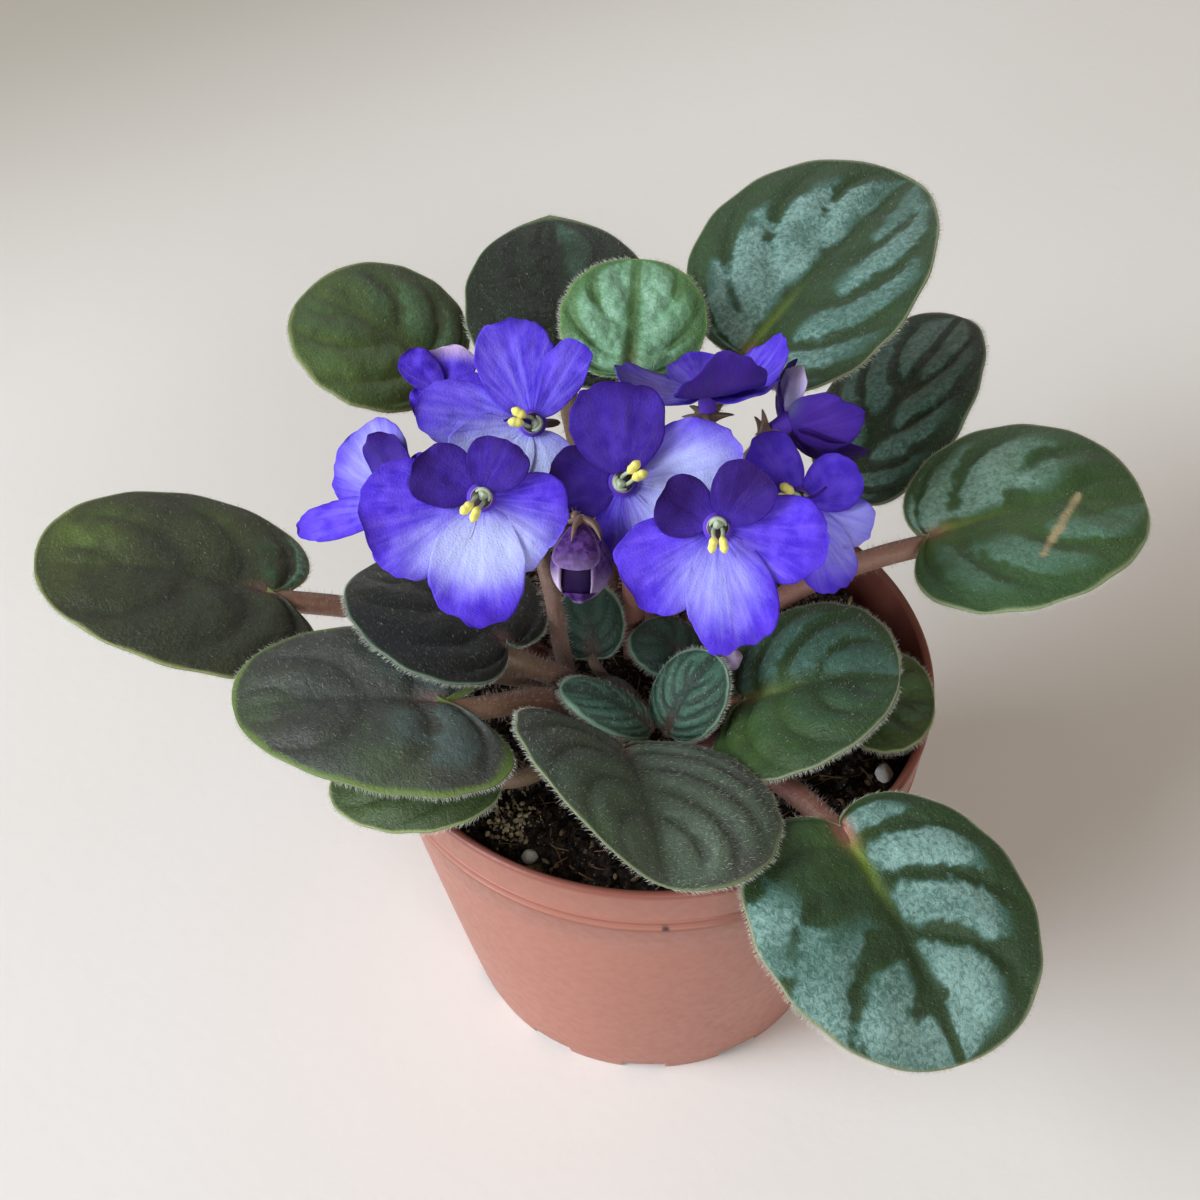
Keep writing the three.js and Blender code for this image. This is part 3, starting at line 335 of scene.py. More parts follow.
# Every stalk: its name, the points of its middle line from the soil to the fork, the flowers
# that it carries and the rest of the pedicel of its bud.
STALKS = [
    ("stalk_left",
     [(-12.8, 3.2, 55), (-13.4, 2.8, 62.5), (-14.6, 1, 74), (-15.3, -0.8, 85), (-17, 3, 92)],
     ["flower_front_left", "flower_top_left", "flower_far_left", "flower_back_left"],
     [(-16, 2, 97), (-14.6, -2.2, 102), (-11.2, -3.2, 105.3)]),
    ("stalk_middle", [(3.2, 10.8, 55), (3.2, 10.8, 66), (3, 9, 80), (3, 8, 89)],
     ["flower_middle", "flower_front", "flower_back"], []),
    ("stalk_right", [(5, 7, 55), (6, 9, 66), (12, 17, 80), (14.5, 20, 88)],
     ["flower_right", "flower_back_right"], []),
]
Bud = namedtuple("Bud", "neck tip radius")
NODDING_BUD = Bud(np.array([-10.7, -3.8, 104.8]), np.array([-11.1, -11, 95.2]), 4.5)
SMALL_BUD = Bud(np.array([11.0, -1, 72]), np.array([12.6, -7, 78]), 2)
SMALL_BUD_FOOT = np.array([8.0, 0, 55])
FALLEN_PETAL = a_leaf("fallen_petal", None, (-9.6, -18.4, 71.4), (-13.4, -17.4, 72.4), 3.4,
                      (0, 0))

# The folded petals of the nodding bud: the turn of each about its axis (0 is its right side
# and 90 its front), half its spread, the shares of the length it starts and ends at, how far
# out it lies and how pinkish white its tip is.
BUD_PETALS = [
    (270, 80, 0.04, 1.0, 0.95, 0.1),
    (92, 75, 0.86, 1.0, 1.0, 0.1),
    (18, 50, 0.04, 0.97, 1.0, 0.35),
    (172, 46, 0.06, 0.88, 1.01, 1.0),
    (98, 58, 0.04, 0.56, 1.04, 0.1),
]


# ---- Numbers ----

def unit(vectors):
    return vectors / np.linalg.norm(vectors, axis=-1, keepdims=True)


def smoothstep(low, high, value):
    share = np.clip((value - low) / (high - low), 0, 1)
    return share * share * (3 - 2 * share)


def lattice(cells, seed):
    """A repeatable number from 0 to 1 for each lattice corner."""
    h = cells[..., 0] * 374761393 + cells[..., 1] * 668265263 + cells[..., 2] * 1440662683
    h = (h + seed * 1274126177) & 0xFFFFFFFF
    h = ((h ^ (h >> 13)) * 1274126177) & 0xFFFFFFFF
    return ((h ^ (h >> 16)) & 0xFFFFFF) / 0xFFFFFF


def noise(points, size, seed=0):
    """Smooth noise from -1 to 1 at points in millimetres, with features about size across."""
    scaled = np.asarray(points, float) / size
    cells = np.floor(scaled).astype(np.int64)
    part = scaled - cells
    part = part * part * (3 - 2 * part)
    total = 0
    for corner in itertools.product((0, 1), repeat=3):
        weight = np.where(np.array(corner) == 1, part, 1 - part).prod(axis=-1)
        total = total + weight * lattice(cells + np.array(corner), seed)
    return 2 * total - 1


def rough_noise(points, size, octaves, seed=0):
    """Several layers of noise, each half the size and half the strength of the last."""
    return sum(noise(points, size / 2 ** k, seed + k) / 2 ** k for k in range(octaves))


def sheet_grid(rows, columns, start=0, stop=1):
    """Shares along, from start to stop, and across, from -1 to 1, at each point of a sheet."""
    return np.meshgrid(np.linspace(start, stop, rows), np.linspace(-1, 1, columns),
                       indexing="ij")


# ---- Meshes ----

class Parts:
    """Collects the vertices (in millimetres), faces, fields and slots of one mesh."""

    def __init__(self, *fields):
        self.vertices = []
        self.faces = {3: [], 4: []}
        self.slots = {3: [], 4: []}
        self.fields = {name: [] for name in fields}
        self.count = 0

    def add(self, vertices, faces, far=0.0, slot=0, **fields):
        """Adds a body. far is the share of its length at each vertex, where it has one."""
        vertices = np.asarray(vertices, float).reshape(-1, 3)
        for block in faces:
            corners = block.shape[1]
            self.faces[corners].append(block + self.count)
            self.slots[corners].append(np.full(len(block), slot))
        for name, values in self.fields.items():
            given = np.ravel(far if name == "far" else fields.get(name, 0.0)).astype(float)
            values.append(np.broadcast_to(given, (len(vertices),)))
        self.vertices.append(vertices)
        self.count += len(vertices)

    def add_sheet(self, upper, lower, under=0.0, **fields):
        """Adds a closed sheet between two grids of points. under is for its lower face only."""
        rows, columns = upper.shape[:2]
        top = np.arange(rows * columns).reshape(rows, columns)
        bottom = top + rows * columns
        faces = [grid_faces(top), grid_faces(bottom)[:, ::-1], strip(top[:, 0], bottom[:, 0]),
                 strip(top[:, -1], bottom[:, -1])[:, ::-1]]
        both = {name: np.tile(np.broadcast_to(value, top.shape).ravel(), 2)
                for name, value in fields.items()}
        self.add(np.stack([upper, lower]), [np.concatenate(faces)],
                 under=np.repeat([0, under], top.size), **both)

    def build(self, name, materials, weld=False, smooth=True):
        mesh = bpy.data.meshes.new(name)
        vertices = np.concatenate(self.vertices) * MM
        blocks = [block for corners in (3, 4) for block in self.faces[corners]]
        slots = [block for corners in (3, 4) for block in self.slots[corners]]
        sizes = np.concatenate([np.full(len(block), block.shape[1]) for block in blocks])
        corners = np.concatenate([block.ravel() for block in blocks])
        mesh.vertices.add(len(vertices))
        mesh.vertices.foreach_set("co", vertices.ravel())
        mesh.loops.add(len(corners))
        mesh.loops.foreach_set("vertex_index", corners)
        mesh.polygons.add(len(sizes))
        mesh.polygons.foreach_set("loop_start", np.concatenate([[0], np.cumsum(sizes)[:-1]]))
        mesh.polygons.foreach_set("material_index", np.concatenate(slots))
        mesh.polygons.foreach_set("use_smooth", np.full(len(sizes), smooth))
        for field, values in self.fields.items():
            attribute = mesh.attributes.new(field, "FLOAT", "POINT")
            attribute.data.foreach_set("value", np.concatenate(values).astype(np.float32))
        mesh.update(calc_edges=True)
        if weld:
            work = bmesh.new()
            work.from_mesh(mesh)
            bmesh.ops.remove_doubles(work, verts=work.verts, dist=1e-7)
            work.to_mesh(mesh)
            work.free()
        mesh.validate()
        for material in materials:
            mesh.materials.append(material)
        piece = bpy.data.objects.new(name, mesh)
        bpy.context.scene.collection.objects.link(piece)
        return piece

    def finish(self, name, slot, node, *materials, weld=True, smooth=True):
        """Builds the piece that takes a CAD node's place, in MATERIALS given by name."""
        looks = [MATERIALS[material] for material in materials]
        finish_piece(self.build(name, looks, weld, smooth), slot, node)


def strip(first, second):
    """Quads between two rows of vertex numbers of the same length."""
    return np.stack([first[:-1], first[1:], second[1:], second[:-1]], axis=-1)


def grid_faces(index):
    """Quads of a grid of vertex numbers, with their fronts where rows x columns point down."""
    return np.concatenate([strip(index[i], index[i + 1]) for i in range(len(index) - 1)])


def frames_along(line):
    """Tangent and two cross directions at each point of a line, with no sudden twist."""
    ahead = np.concatenate([line[1:], line[-1:]])
    behind = np.concatenate([line[:1], line[:-1]])
    tangents = unit(ahead - behind)
    across = np.array([1.0, 0.0, 0.0])
    sides = []
    for tangent in tangents:
        across = unit(across - tangent * across.dot(tangent))
        sides.append(across)
    sides = np.array(sides)
    return tangents, sides, np.cross(tangents, sides)


def tube(line, radii, sides):
    """A closed round tube: its vertices, faces and share of the length."""
    line = np.asarray(line, float)
    radii = np.broadcast_to(np.asarray(radii, float), (len(line),))
    _, across, up = frames_along(line)
    turn = np.arange(sides) * 2 * math.pi / sides
    ring = (across[:, None] * np.cos(turn)[None, :, None]
            + up[:, None] * np.sin(turn)[None, :, None])
    shell = line[:, None] + ring * radii[:, None, None]
    vertices = np.concatenate([shell.reshape(-1, 3), line[:1], line[-1:]])
    index = np.arange(len(line) * sides).reshape(len(line), sides)
    closed = np.concatenate([index, index[:, :1]], axis=1)
    first = len(line) * sides
    start = np.stack([np.full(sides, first), closed[0, 1:], closed[0, :-1]], axis=-1)
    end = np.stack([np.full(sides, first + 1), closed[-1, :-1], closed[-1, 1:]], axis=-1)
    share = np.repeat(np.linspace(0, 1, len(line)), sides)
    return vertices, [grid_faces(closed), start, end], np.append(share, [0, 1])


def spindle(start, end, rings, sides, radius_at):
    """A closed body round an axis, as from tube. radius_at(share, turn) gives its radius."""
    axis = end - start
    forward = unit(axis)
    helper = UP if abs(forward[2]) < 0.9 else np.array([1.0, 0.0, 0.0])
    across = unit(np.cross(helper, forward))
    up = np.cross(forward, across)
    share = (1 - np.cos(np.linspace(0, math.pi, rings + 1))) / 2
    turn = np.arange(sides + 1) * 2 * math.pi / sides
    s, a = np.meshgrid(share, turn, indexing="ij")
    ring = across * np.cos(a)[..., None] + up * np.sin(a)[..., None]
    vertices = start + axis * s[..., None] + ring * radius_at(s, a)[..., None]
    index = np.arange(s.size).reshape(s.shape)
    return vertices.reshape(-1, 3), [grid_faces(index)], s.ravel()


def smooth_line(points, count):
    """A smooth curve through points, as evenly spaced points along it."""
    points = np.asarray(points, float)
    padded = np.concatenate([2 * points[:1] - points[1:2], points,
                             2 * points[-1:] - points[-2:-1]])
    line = []
    for i in range(len(points) - 1):
        p0, p1, p2, p3 = padded[i:i + 4]
        for t in np.arange(0, 1, 0.05):
            line.append(0.5 * (2 * p1 + (p2 - p0) * t + (2 * p0 - 5 * p1 + 4 * p2 - p3) * t ** 2
                               + (3 * p1 - p0 - 3 * p2 + p3) * t ** 3))
    line = np.array(line + [points[-1]])
    steps = np.linalg.norm(np.diff(line, axis=0), axis=1)
    walked = np.concatenate([[0], np.cumsum(steps)])
    wanted = np.linspace(0, walked[-1], count)
    return np.stack([np.interp(wanted, walked, line[:, k]) for k in range(3)], axis=-1)


def hairs(roots, aims, lengths, radius):
    """Thin tapered hairs that bend a little, each of three sides and two segments."""
    count = len(roots)
    aims = unit(aims)
    across = unit(np.cross(aims, rng.normal(size=(count, 3))))
    up = np.cross(aims, across)
    bend = across * rng.uniform(-0.3, 0.3, (count, 1)) + up * rng.uniform(-0.3, 0.3, (count, 1))
    lengths = lengths[:, None]
    middle = roots + aims * lengths * 0.5 + bend * lengths * 0.2
    tips = roots + aims * lengths + bend * lengths * 0.8
    rings = []
    for centre, size in ((roots, radius), (middle, radius * 0.7)):
        for k in range(3):
            angle = 2 * math.pi * k / 3
            rings.append(centre + (across * math.cos(angle) + up * math.sin(angle)) * size)
    vertices = np.stack([*rings, tips], axis=1)
    base = np.arange(count)[:, None] * 7
    quads = [base + np.array([k, (k + 1) % 3, 3 + (k + 1) % 3, 3 + k]) for k in range(3)]
    points = [base + np.array([3 + k, 3 + (k + 1) % 3, 6]) for k in range(3)]
    share = np.tile([0, 0, 0, 0.5, 0.5, 0.5, 1.0], count)
    return vertices.reshape(-1, 3), [np.concatenate(quads), np.concatenate(points)], share


# ---- Materials ----

def colour(code):
    """A linear colour with alpha from a screen colour code."""
    channels = [(code >> shift & 255) / 255 for shift in (16, 8, 0)]
    linear = [c / 12.92 if c <= 0.04045 else ((c + 0.055) / 1.055) ** 2.4 for c in channels]
    return (*linear, 1.0)


class Shader:
    """A node material with short calls for the nodes used here."""

    def __init__(self, name, **constants):
        self.material = bpy.data.materials.new(name)
        self.material.use_nodes = True
        self.nodes = self.material.node_tree.nodes
        self.base = None
        self.set(**constants)

    def put(self, socket, value):
        if isinstance(value, bpy.types.NodeSocket):
            self.material.node_tree.links.new(value, socket)
        else:
            socket.default_value = value

    def set(self, **values):
        """Sets or feeds sockets of the surface, named with _ for each space."""
        for socket, value in values.items():
            self.put(self.nodes["Principled BSDF"].inputs[socket.replace("_", " ")], value)

    def node(self, kind, inputs, output=0, **settings):
        """Adds a node with its settings and inputs, and gives one of its outputs."""
        node = self.nodes.new("ShaderNode" + kind)
        for key, value in settings.items():
            setattr(node, key, value)
        for key, value in inputs.items():
            self.put(node.inputs[key], value)
        return node.outputs[output]

    def field(self, name):
        return self.node("Attribute", {}, "Fac", attribute_name=name)

    def place(self):
        return self.node("TexCoord", {}, "Object")

    def math(self, operation, a, b):
        return self.node("Math", {0: a, 1: b}, operation=operation)

    def mix(self, factor, a, b):
        return self.node("Mix", {0: factor, 6: a, 7: b}, 2, data_type="RGBA")

    def noise(self, size, detail=2.0, roughness=0.5, distortion=0.0, at=None):
        """Noise with features about size millimetres across, or size units of at."""
        scale = 1 / size if at else 1 / (size * MM)
        return self.node("TexNoise", {"Vector": at or self.place(), "Scale": scale,
                                      "Detail": detail, "Roughness": roughness,
                                      "Distortion": distortion}, "Fac")

    def slope(self, toward):
        """How many millimetres a place lies towards a direction."""
        return self.node("VectorMath", {0: self.place(), 1: [part / MM for part in toward]},
                         "Value", operation="DOT_PRODUCT")

    def span(self, value, low, high, to_low=0.0, to_high=1.0):
        """value brought from one range to another and kept inside it."""
        return self.node("MapRange", {"Value": value, "From Min": low, "From Max": high,
                                      "To Min": to_low, "To Max": to_high},
                         "Result", interpolation_type="SMOOTHSTEP")

    def start(self, factor, first, second):
        """Starts the base colour as a mix of two colour codes."""
        self.base = self.mix(factor, colour(first), colour(second))

    def over(self, factor, code, strength=None):
        """Puts a colour code over the base colour, as far as a factor or a named field says."""
        if isinstance(factor, str):
            factor = self.field(factor)
        if strength is not None:
            factor = self.math("MULTIPLY", factor, strength)
        self.base = self.mix(factor, self.base, colour(code))

    def bump(self, height, distance):
        """Raises the surface by up to distance millimetres."""
        self.set(Normal=self.node("Bump", {"Distance": distance * MM, "Height": height},
                                  "Normal"))

    def finish(self):
        self.set(Base_Color=self.base)
        return self.material


def pot_material():
    shader = Shader("pot_plastic")
    fine = shader.noise(1.6, detail=4)
    shader.start(shader.noise(26, detail=3), 0x9E6454, 0xA86C5B)
    shader.over(shader.span(fine, 0.5, 0.8, 0, 0.15), 0x8E564C)
    # Painted shade: line darkens the fine grooves below the rim; it also darkens the top of the
    # lip.
    shader.over("line", 0x6A3028, strength=0.6)
    # Painted shade: the inside wall and floor of the pot are darkened as in shadow.
    shader.over("inside", 0x552620)
    shader.over("speck", 0x2A1A16)
    shader.set(Roughness=shader.span(fine, 0.3, 0.7, 0.38, 0.5))
    shader.bump(shader.noise(0.7, detail=3), 0.03)
    return shader.finish()


def soil_material():
    shader = Shader("peat", Roughness=0.95, Specular_IOR_Level=0.2)
    grain = shader.noise(0.9, detail=5, roughness=0.7)
    shader.start(shader.span(grain, 0.4, 0.75), 0x18120F, 0x54453A)
    shader.over(shader.span(shader.noise(5, detail=3), 0.6, 0.8, 0, 0.5), 0x7A6654)
    shader.over("tan", 0xD2BE98)
    shader.over(shader.span(shader.noise(0.45, detail=1), 0.7, 0.76), 0xB8AE9E)
    shader.bump(shader.noise(0.5, detail=5, roughness=0.75), 0.4)
    return shader.finish()


def crumb_material(name, dark, light):
    """Wood crumbs and fibres."""
    shader = Shader(name, Roughness=0.85, Specular_IOR_Level=0.3)
    shader.start(shader.noise(2.2, detail=3), dark, light)
    shader.over(shader.span(shader.noise(0.3), 0.55, 0.8, 0, 0.6), dark)
    shader.bump(shader.noise(0.3, detail=3), 0.1)
    return shader.finish()


def leaf_material(name, tones):
    """A hairy leaf: dark vein valleys, painted silver sheen on the ridges, a pale margin and
    underside.
    """
    shader = Shader("leaf_" + name, Sheen_Weight=0.06, Sheen_Roughness=0.4,
                    Specular_IOR_Level=0.4)
    blotch = shader.noise(8, detail=3)
    grain = shader.noise(0.8, detail=4, roughness=0.6, distortion=0.7)
    wool = shader.noise(0.28, detail=2, distortion=0.6)
    shader.start(shader.span(blotch, 0.35, 0.65), tones["body"], tones["tint"])
    shader.over(shader.span(grain, 0.35, 0.7, 0, 0.5), tones["deep"])
    shader.over(shader.span(wool, 0.25, 0.5, 0.3, 0), 0x0C120A)
    shader.over("vein", tones["deep"], strength=0.5)
    shader.over("glow", tones["glow"])
    # Painted sheen: silver over the ridges where the window's reflection lies, a dull silver
    # first and a bright one over it.
    uneven = shader.span(grain, 0.3, 0.7, 0.65, 1.25)
    painted_sheen = shader.math("MULTIPLY", shader.field("painted_sheen"), uneven)
    shader.over(shader.span(painted_sheen, 0.0, 0.55), tones["painted_dull_silver"])
    shader.over(shader.span(painted_sheen, 0.35, 1.15), tones["painted_silver"])
    shader.over("rib", tones["rib"])
    shader.over("blush", 0xB8606A)
    shader.over("edge", tones["edge"])
    shader.over("scar", 0xA89A72)
    shader.over(shader.span(wool, 0.68, 0.8, 0, 0.15), 0xA8B4A0)
    under = shader.mix(blotch, colour(tones["under"]), colour(tones["body"]))
    shader.base = shader.mix(shader.field("under"), shader.base, under)
    shader.set(Roughness=shader.span(painted_sheen, 0.0, 1.0, 0.48, 0.33))
    shader.bump(shader.math("ADD", shader.math("MULTIPLY", grain, 0.8),
                            shader.math("MULTIPLY", wool, 0.2)), 0.34)
    return shader.finish()


def petiole_material(name, tone):
    shader = Shader("petiole_" + name, Sheen_Weight=0.12)
    streak = shader.noise(1.1, detail=3)
    shader.start(shader.span(streak, 0.35, 0.7, 0, 0.5), tone, 0x82604F)
    shader.over(shader.span(shader.field("far"), 0.0, 1.0), 0x7E7A4A, strength=0.25)
    shader.bump(shader.noise(0.4, detail=3), 0.12)
    return shader.finish()


def hair_material(name, root, tip, white):
    """Hairs that pale towards their tips. Some of them are white."""
    shader = Shader(name)
    shader.start(shader.field("far"), root, tip)
    shader.over(shader.span(shader.noise(6), 0.35, 0.7, 0, 0.5), tip)
    shader.over("white", white)
    return shader.finish()


def petal_material():
    """Violet petals: darker upper ones, a pale streaked patch and a deeper margin."""
    shader = Shader("petal", Roughness=0.6, Specular_IOR_Level=0.15, Subsurface_Weight=0.1,
                    Subsurface_Scale=0.0008, Subsurface_Radius=(0.6, 0.4, 1.0))
    fan = [shader.math("MULTIPLY", shader.field(name), 9.0) for name in ("fan_x", "fan_y")]
    depth = shader.math("ADD", shader.math("MULTIPLY", shader.field("reach"), 0.12),
                        shader.field("key"))
    streak_at = shader.node("CombineXYZ", {0: fan[0], 1: fan[1], 2: depth})
    streak = shader.noise(1.0, detail=4, roughness=0.6, at=streak_at)
    uneven = shader.math("SUBTRACT", streak, 0.5)
    pale = shader.math("ADD", shader.field("pale"), shader.math("MULTIPLY", uneven, 0.7))
    dark = shader.math("ADD", shader.field("dark"), shader.math("MULTIPLY", uneven, 0.35))
    shader.start(shader.span(shader.noise(2.6, detail=3), 0.35, 0.65), 0x482ACA, 0x6244E2)
    shader.over(shader.span(streak, 0.45, 0.75, 0, 0.5), 0x7E64F0)
    shader.over("under", 0x6A44C8)
    shader.over(shader.span(pale, 0.1, 0.9), 0x938CF0)
    shader.over(shader.span(pale, 0.5, 1.25), 0xBCC6F6)
    shader.over("edge", 0x4526B4)
    # dark: the darker upper petals, plus painted shade round the throat.
    shader.over(shader.span(dark, 0.05, 1.1), 0x270A58)
    # Pinkish white on one petal; on flower_back_right a painted highlight.
    shader.over("blush", 0xD9BFDF)
    shader.bump(shader.math("ADD", streak, shader.noise(0.3)), 0.12)
    return shader.finish()


def tint_material(name, first, second, size, fine=None, detail=3, relief=0.06, **constants):
    """Two tones in soft blotches of one size, with a relief of a finer one."""
    shader = Shader(name, **constants)
    shader.start(shader.noise(size, detail=detail), first, second)
    shader.bump(shader.noise(fine or size / 3, detail=detail), relief)
    return shader.finish()


def bud_material():
    """A half-open bud: dark purple, paler and pinkish along the folds of its outer petals, and
    near-black painted shade inside.
    """
    shader = Shader("bud", Roughness=0.6, Specular_IOR_Level=0.12)
    streak = shader.noise(0.9, detail=4, distortion=0.5)
    shader.start(shader.span(streak, 0.35, 0.7), 0x34184E, 0x5A387E)
    shader.over("blush", 0xDCC8E8)
    # Painted shade: the inside of the bud is painted near-black.
    shader.over("dark", 0x1C0A34)
    shader.bump(streak, 0.1)
    return shader.finish()


MATERIALS = {
    "pot": pot_material(),
    "soil": soil_material(),
    "bark": crumb_material("bark", 0x3C2A1E, 0xA88A66),
    "fibre": crumb_material("fibre", 0x4A3424, 0xA08060),
    "perlite": tint_material("perlite", 0xC9C6BE, 0xF2F0EA, 0.5, 0.25, 4, 0.15, Roughness=0.9),
    "hair": hair_material("leaf_hair", 0x4E5F4A, 0x93A592, 0xE8E8DC),
    "stem_hair": hair_material("stem_hair", 0x9A7C70, 0xD8C6BA, 0xF0E6DE),
    "petal": petal_material(),
    "throat": tint_material("throat", 0x7E8C74, 0xC0CCB0, 0.9),
    # The slit: a near-black lens in the mouth of the tube, painted as the shade inside it.
    "slit": tint_material("throat_slit", 0x1A0A16, 0x34161E, 1.0),
    "pollen": tint_material("pollen", 0xDCD254, 0xEFE88A, 0.6, relief=0.05, Roughness=0.6),
    "stalk": tint_material("stalk", 0x6E4F45, 0x8E7262, 2.0, relief=0.1, Sheen_Weight=0.15),
    "sepal": tint_material("sepal", 0x5A4236, 0x7A6050, 1.5, Sheen_Weight=0.1),
    "bud": bud_material(),
}


def finish_piece(piece, slot, *nodes):
    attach(piece, "root")
    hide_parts(*nodes)


# ---- Pot ----

def wall_radius(height):
    share = min(height / BAND_BOTTOM, 1)
    rise = POT_RIM_RADIUS - BAND_TAPER - POT_BASE_RADIUS
    return POT_BASE_RADIUS + rise * share ** WALL_CURVE


def ridge(radius, height):
    """A fine raised line round the pot: the points of its section."""
    section = [(0, -0.2), (0.16, -0.1), (0.18, 0), (0.12, 0.12), (0, 0.2)]
    return [(radius + out, height + up) for out, up in section]


def pot_profile():
    """The section of the pot from the middle of its base, out and up to the rim and back in."""
    band = wall_radius(BAND_BOTTOM) + BAND_STEP
    foot = POT_BASE_RADIUS - FOOT_WIDTH
    floor = FOOT_HEIGHT + POT_WALL
    rim = [(0.15, 1.4), (0, 1.2), (0, 0.5), (0.15, 0.15), (0.5, 0), (0.9, 0), (POT_WALL, 0.2),
           (POT_WALL + 0.25, 0.5)]
    points = [(0, 0), (BASE_PAD_RADIUS, 0), (BASE_PAD_RADIUS + 1, FOOT_HEIGHT),
              (foot, FOOT_HEIGHT), (foot + 0.6, 0), (POT_BASE_RADIUS - 0.5, 0),
              (POT_BASE_RADIUS - 0.1, 0.15), (POT_BASE_RADIUS, 0.5)]
    points += [(wall_radius(height), height) for height in (2.2, 5, 12, 20, 30, 40, 50)]
    points += [(band - BAND_STEP, BAND_BOTTOM - EDGE_ROUND / 2),
               (band, BAND_BOTTOM + EDGE_ROUND / 2)]
    points += ridge(band, BAND_BOTTOM + 1.2) + ridge(band + 0.1, BAND_RIDGE)
    points += [(band + RIDGE_STEP, BAND_RIDGE + 1)]
    points += [(POT_RIM_RADIUS - inset, POT_HEIGHT - drop) for inset, drop in rim]
    points += [(band - POT_WALL, BAND_RIDGE)]
    points += [(wall_radius(height) - POT_WALL, height) for height in (40, 20, 6)]
    points += [(wall_radius(5) - POT_WALL - 1, floor), (0, floor)]
    return np.array(points, float)


def pot_turns():
    """Azimuths round the pot in degrees, closer at the speck and at each side of a notch."""
    half = math.degrees(NOTCH_WIDTH / 2 / POT_BASE_RADIUS)
    turns = list(np.arange(0, 360, 2.0)) + list(SPECK[0] + np.linspace(-1.5, 1.5, 7))
    for k in range(NOTCH_COUNT):
        middle = NOTCH_TURN + 360 * k / NOTCH_COUNT
        for side in (-half, half):
            turns += [middle + side - 0.15, middle + side + 0.15]
    return np.unique(np.round(np.mod(turns, 360), 3))


def build_pot():
    profile = pot_profile()
    turns = pot_turns()
    angles = np.radians(np.append(turns, turns[0] + 360))
    radius = profile[:, 0][:, None]
    height = np.repeat(profile[:, 1][:, None], len(angles), axis=1)
    half = math.degrees(NOTCH_WIDTH / 2 / POT_BASE_RADIUS)
    pitch = 360 / NOTCH_COUNT
    offset = np.mod(np.degrees(angles) - NOTCH_TURN + pitch / 2, pitch) - pitch / 2
    in_notch = (np.abs(offset) < half)[None, :] & (radius > BASE_PAD_RADIUS + 2)
    height = np.where(in_notch & (height < NOTCH_HEIGHT), NOTCH_HEIGHT, height)
    points = np.stack([radius * np.cos(angles), radius * np.sin(angles), height], axis=-1)
    index = np.arange(height.size).reshape(height.shape)
    # The inside wall and floor, which the pot's colour darkens as painted shade.
    inside = index >= index[-6, 0]
    along = np.radians(SPECK[0]) - angles
    around = POT_RIM_RADIUS * np.arctan2(np.sin(along), np.cos(along))
    speck = 1 - smoothstep(0.3, 0.8, np.hypot(around, height - SPECK[1]))
    # line marks the fine grooves below the rim, darkened in the colour as painted shade, and the
    # top of the lip.
    line = smoothstep(POT_HEIGHT - 1.3, POT_HEIGHT - 0.5, height)
    for groove in (BAND_BOTTOM, BAND_BOTTOM + 0.95, BAND_RIDGE - 0.2):
        line = np.maximum(line, 0.7 * np.exp(-((height - groove) / 0.2) ** 2))
    parts = Parts("inside", "speck", "line")
    parts.add(points, [grid_faces(index)[:, ::-1]], inside=inside, speck=speck, line=line)
    pot = parts.build("pot_body", [MATERIALS["pot"]], weld=True)
    for k in range(DRAIN_COUNT):
        angle = 2 * math.pi * k / DRAIN_COUNT
        middle = (DRAIN_RING * math.cos(angle) * MM, DRAIN_RING * math.sin(angle) * MM, 0)
        bpy.ops.mesh.primitive_cylinder_add(vertices=32, radius=DRAIN_RADIUS * MM,
                                            depth=12 * MM, location=middle)
        cutter = bpy.context.object
        cut = pot.modifiers.new("drain", "BOOLEAN")
        cut.object = cutter
        cut.operation = "DIFFERENCE"
        bpy.context.view_layer.objects.active = pot
        bpy.ops.object.modifier_apply(modifier=cut.name)
        bpy.data.objects.remove(cutter)
    finish_piece(pot, "pot_plastic", "pot")


# ---- Soil ----

def nearness(x, y, middle, spread):
    """1 at the middle of a spot, falling to 0 away from it."""
    return np.exp(-((x - middle[0]) ** 2 + (y - middle[1]) ** 2) / spread)


def soil_height(x, y):
    """The crumbly top of the soil, with a higher clump in front on the left."""
    place = np.stack([x, y, np.zeros_like(x)], axis=-1)
    crumbs = rough_noise(place, 7, 5, seed=3)
    clump = 1.6 * nearness(x, y, CLUMP, 40)
    height = SOIL_LEVEL + 1.1 * crumbs + 0.5 * np.abs(noise(place, 2.2, 9)) + clump
    for middle, _ in PERLITE:
        height = height + (middle[2] - 0.5 - height) * nearness(x, y, middle, 6)
    return height


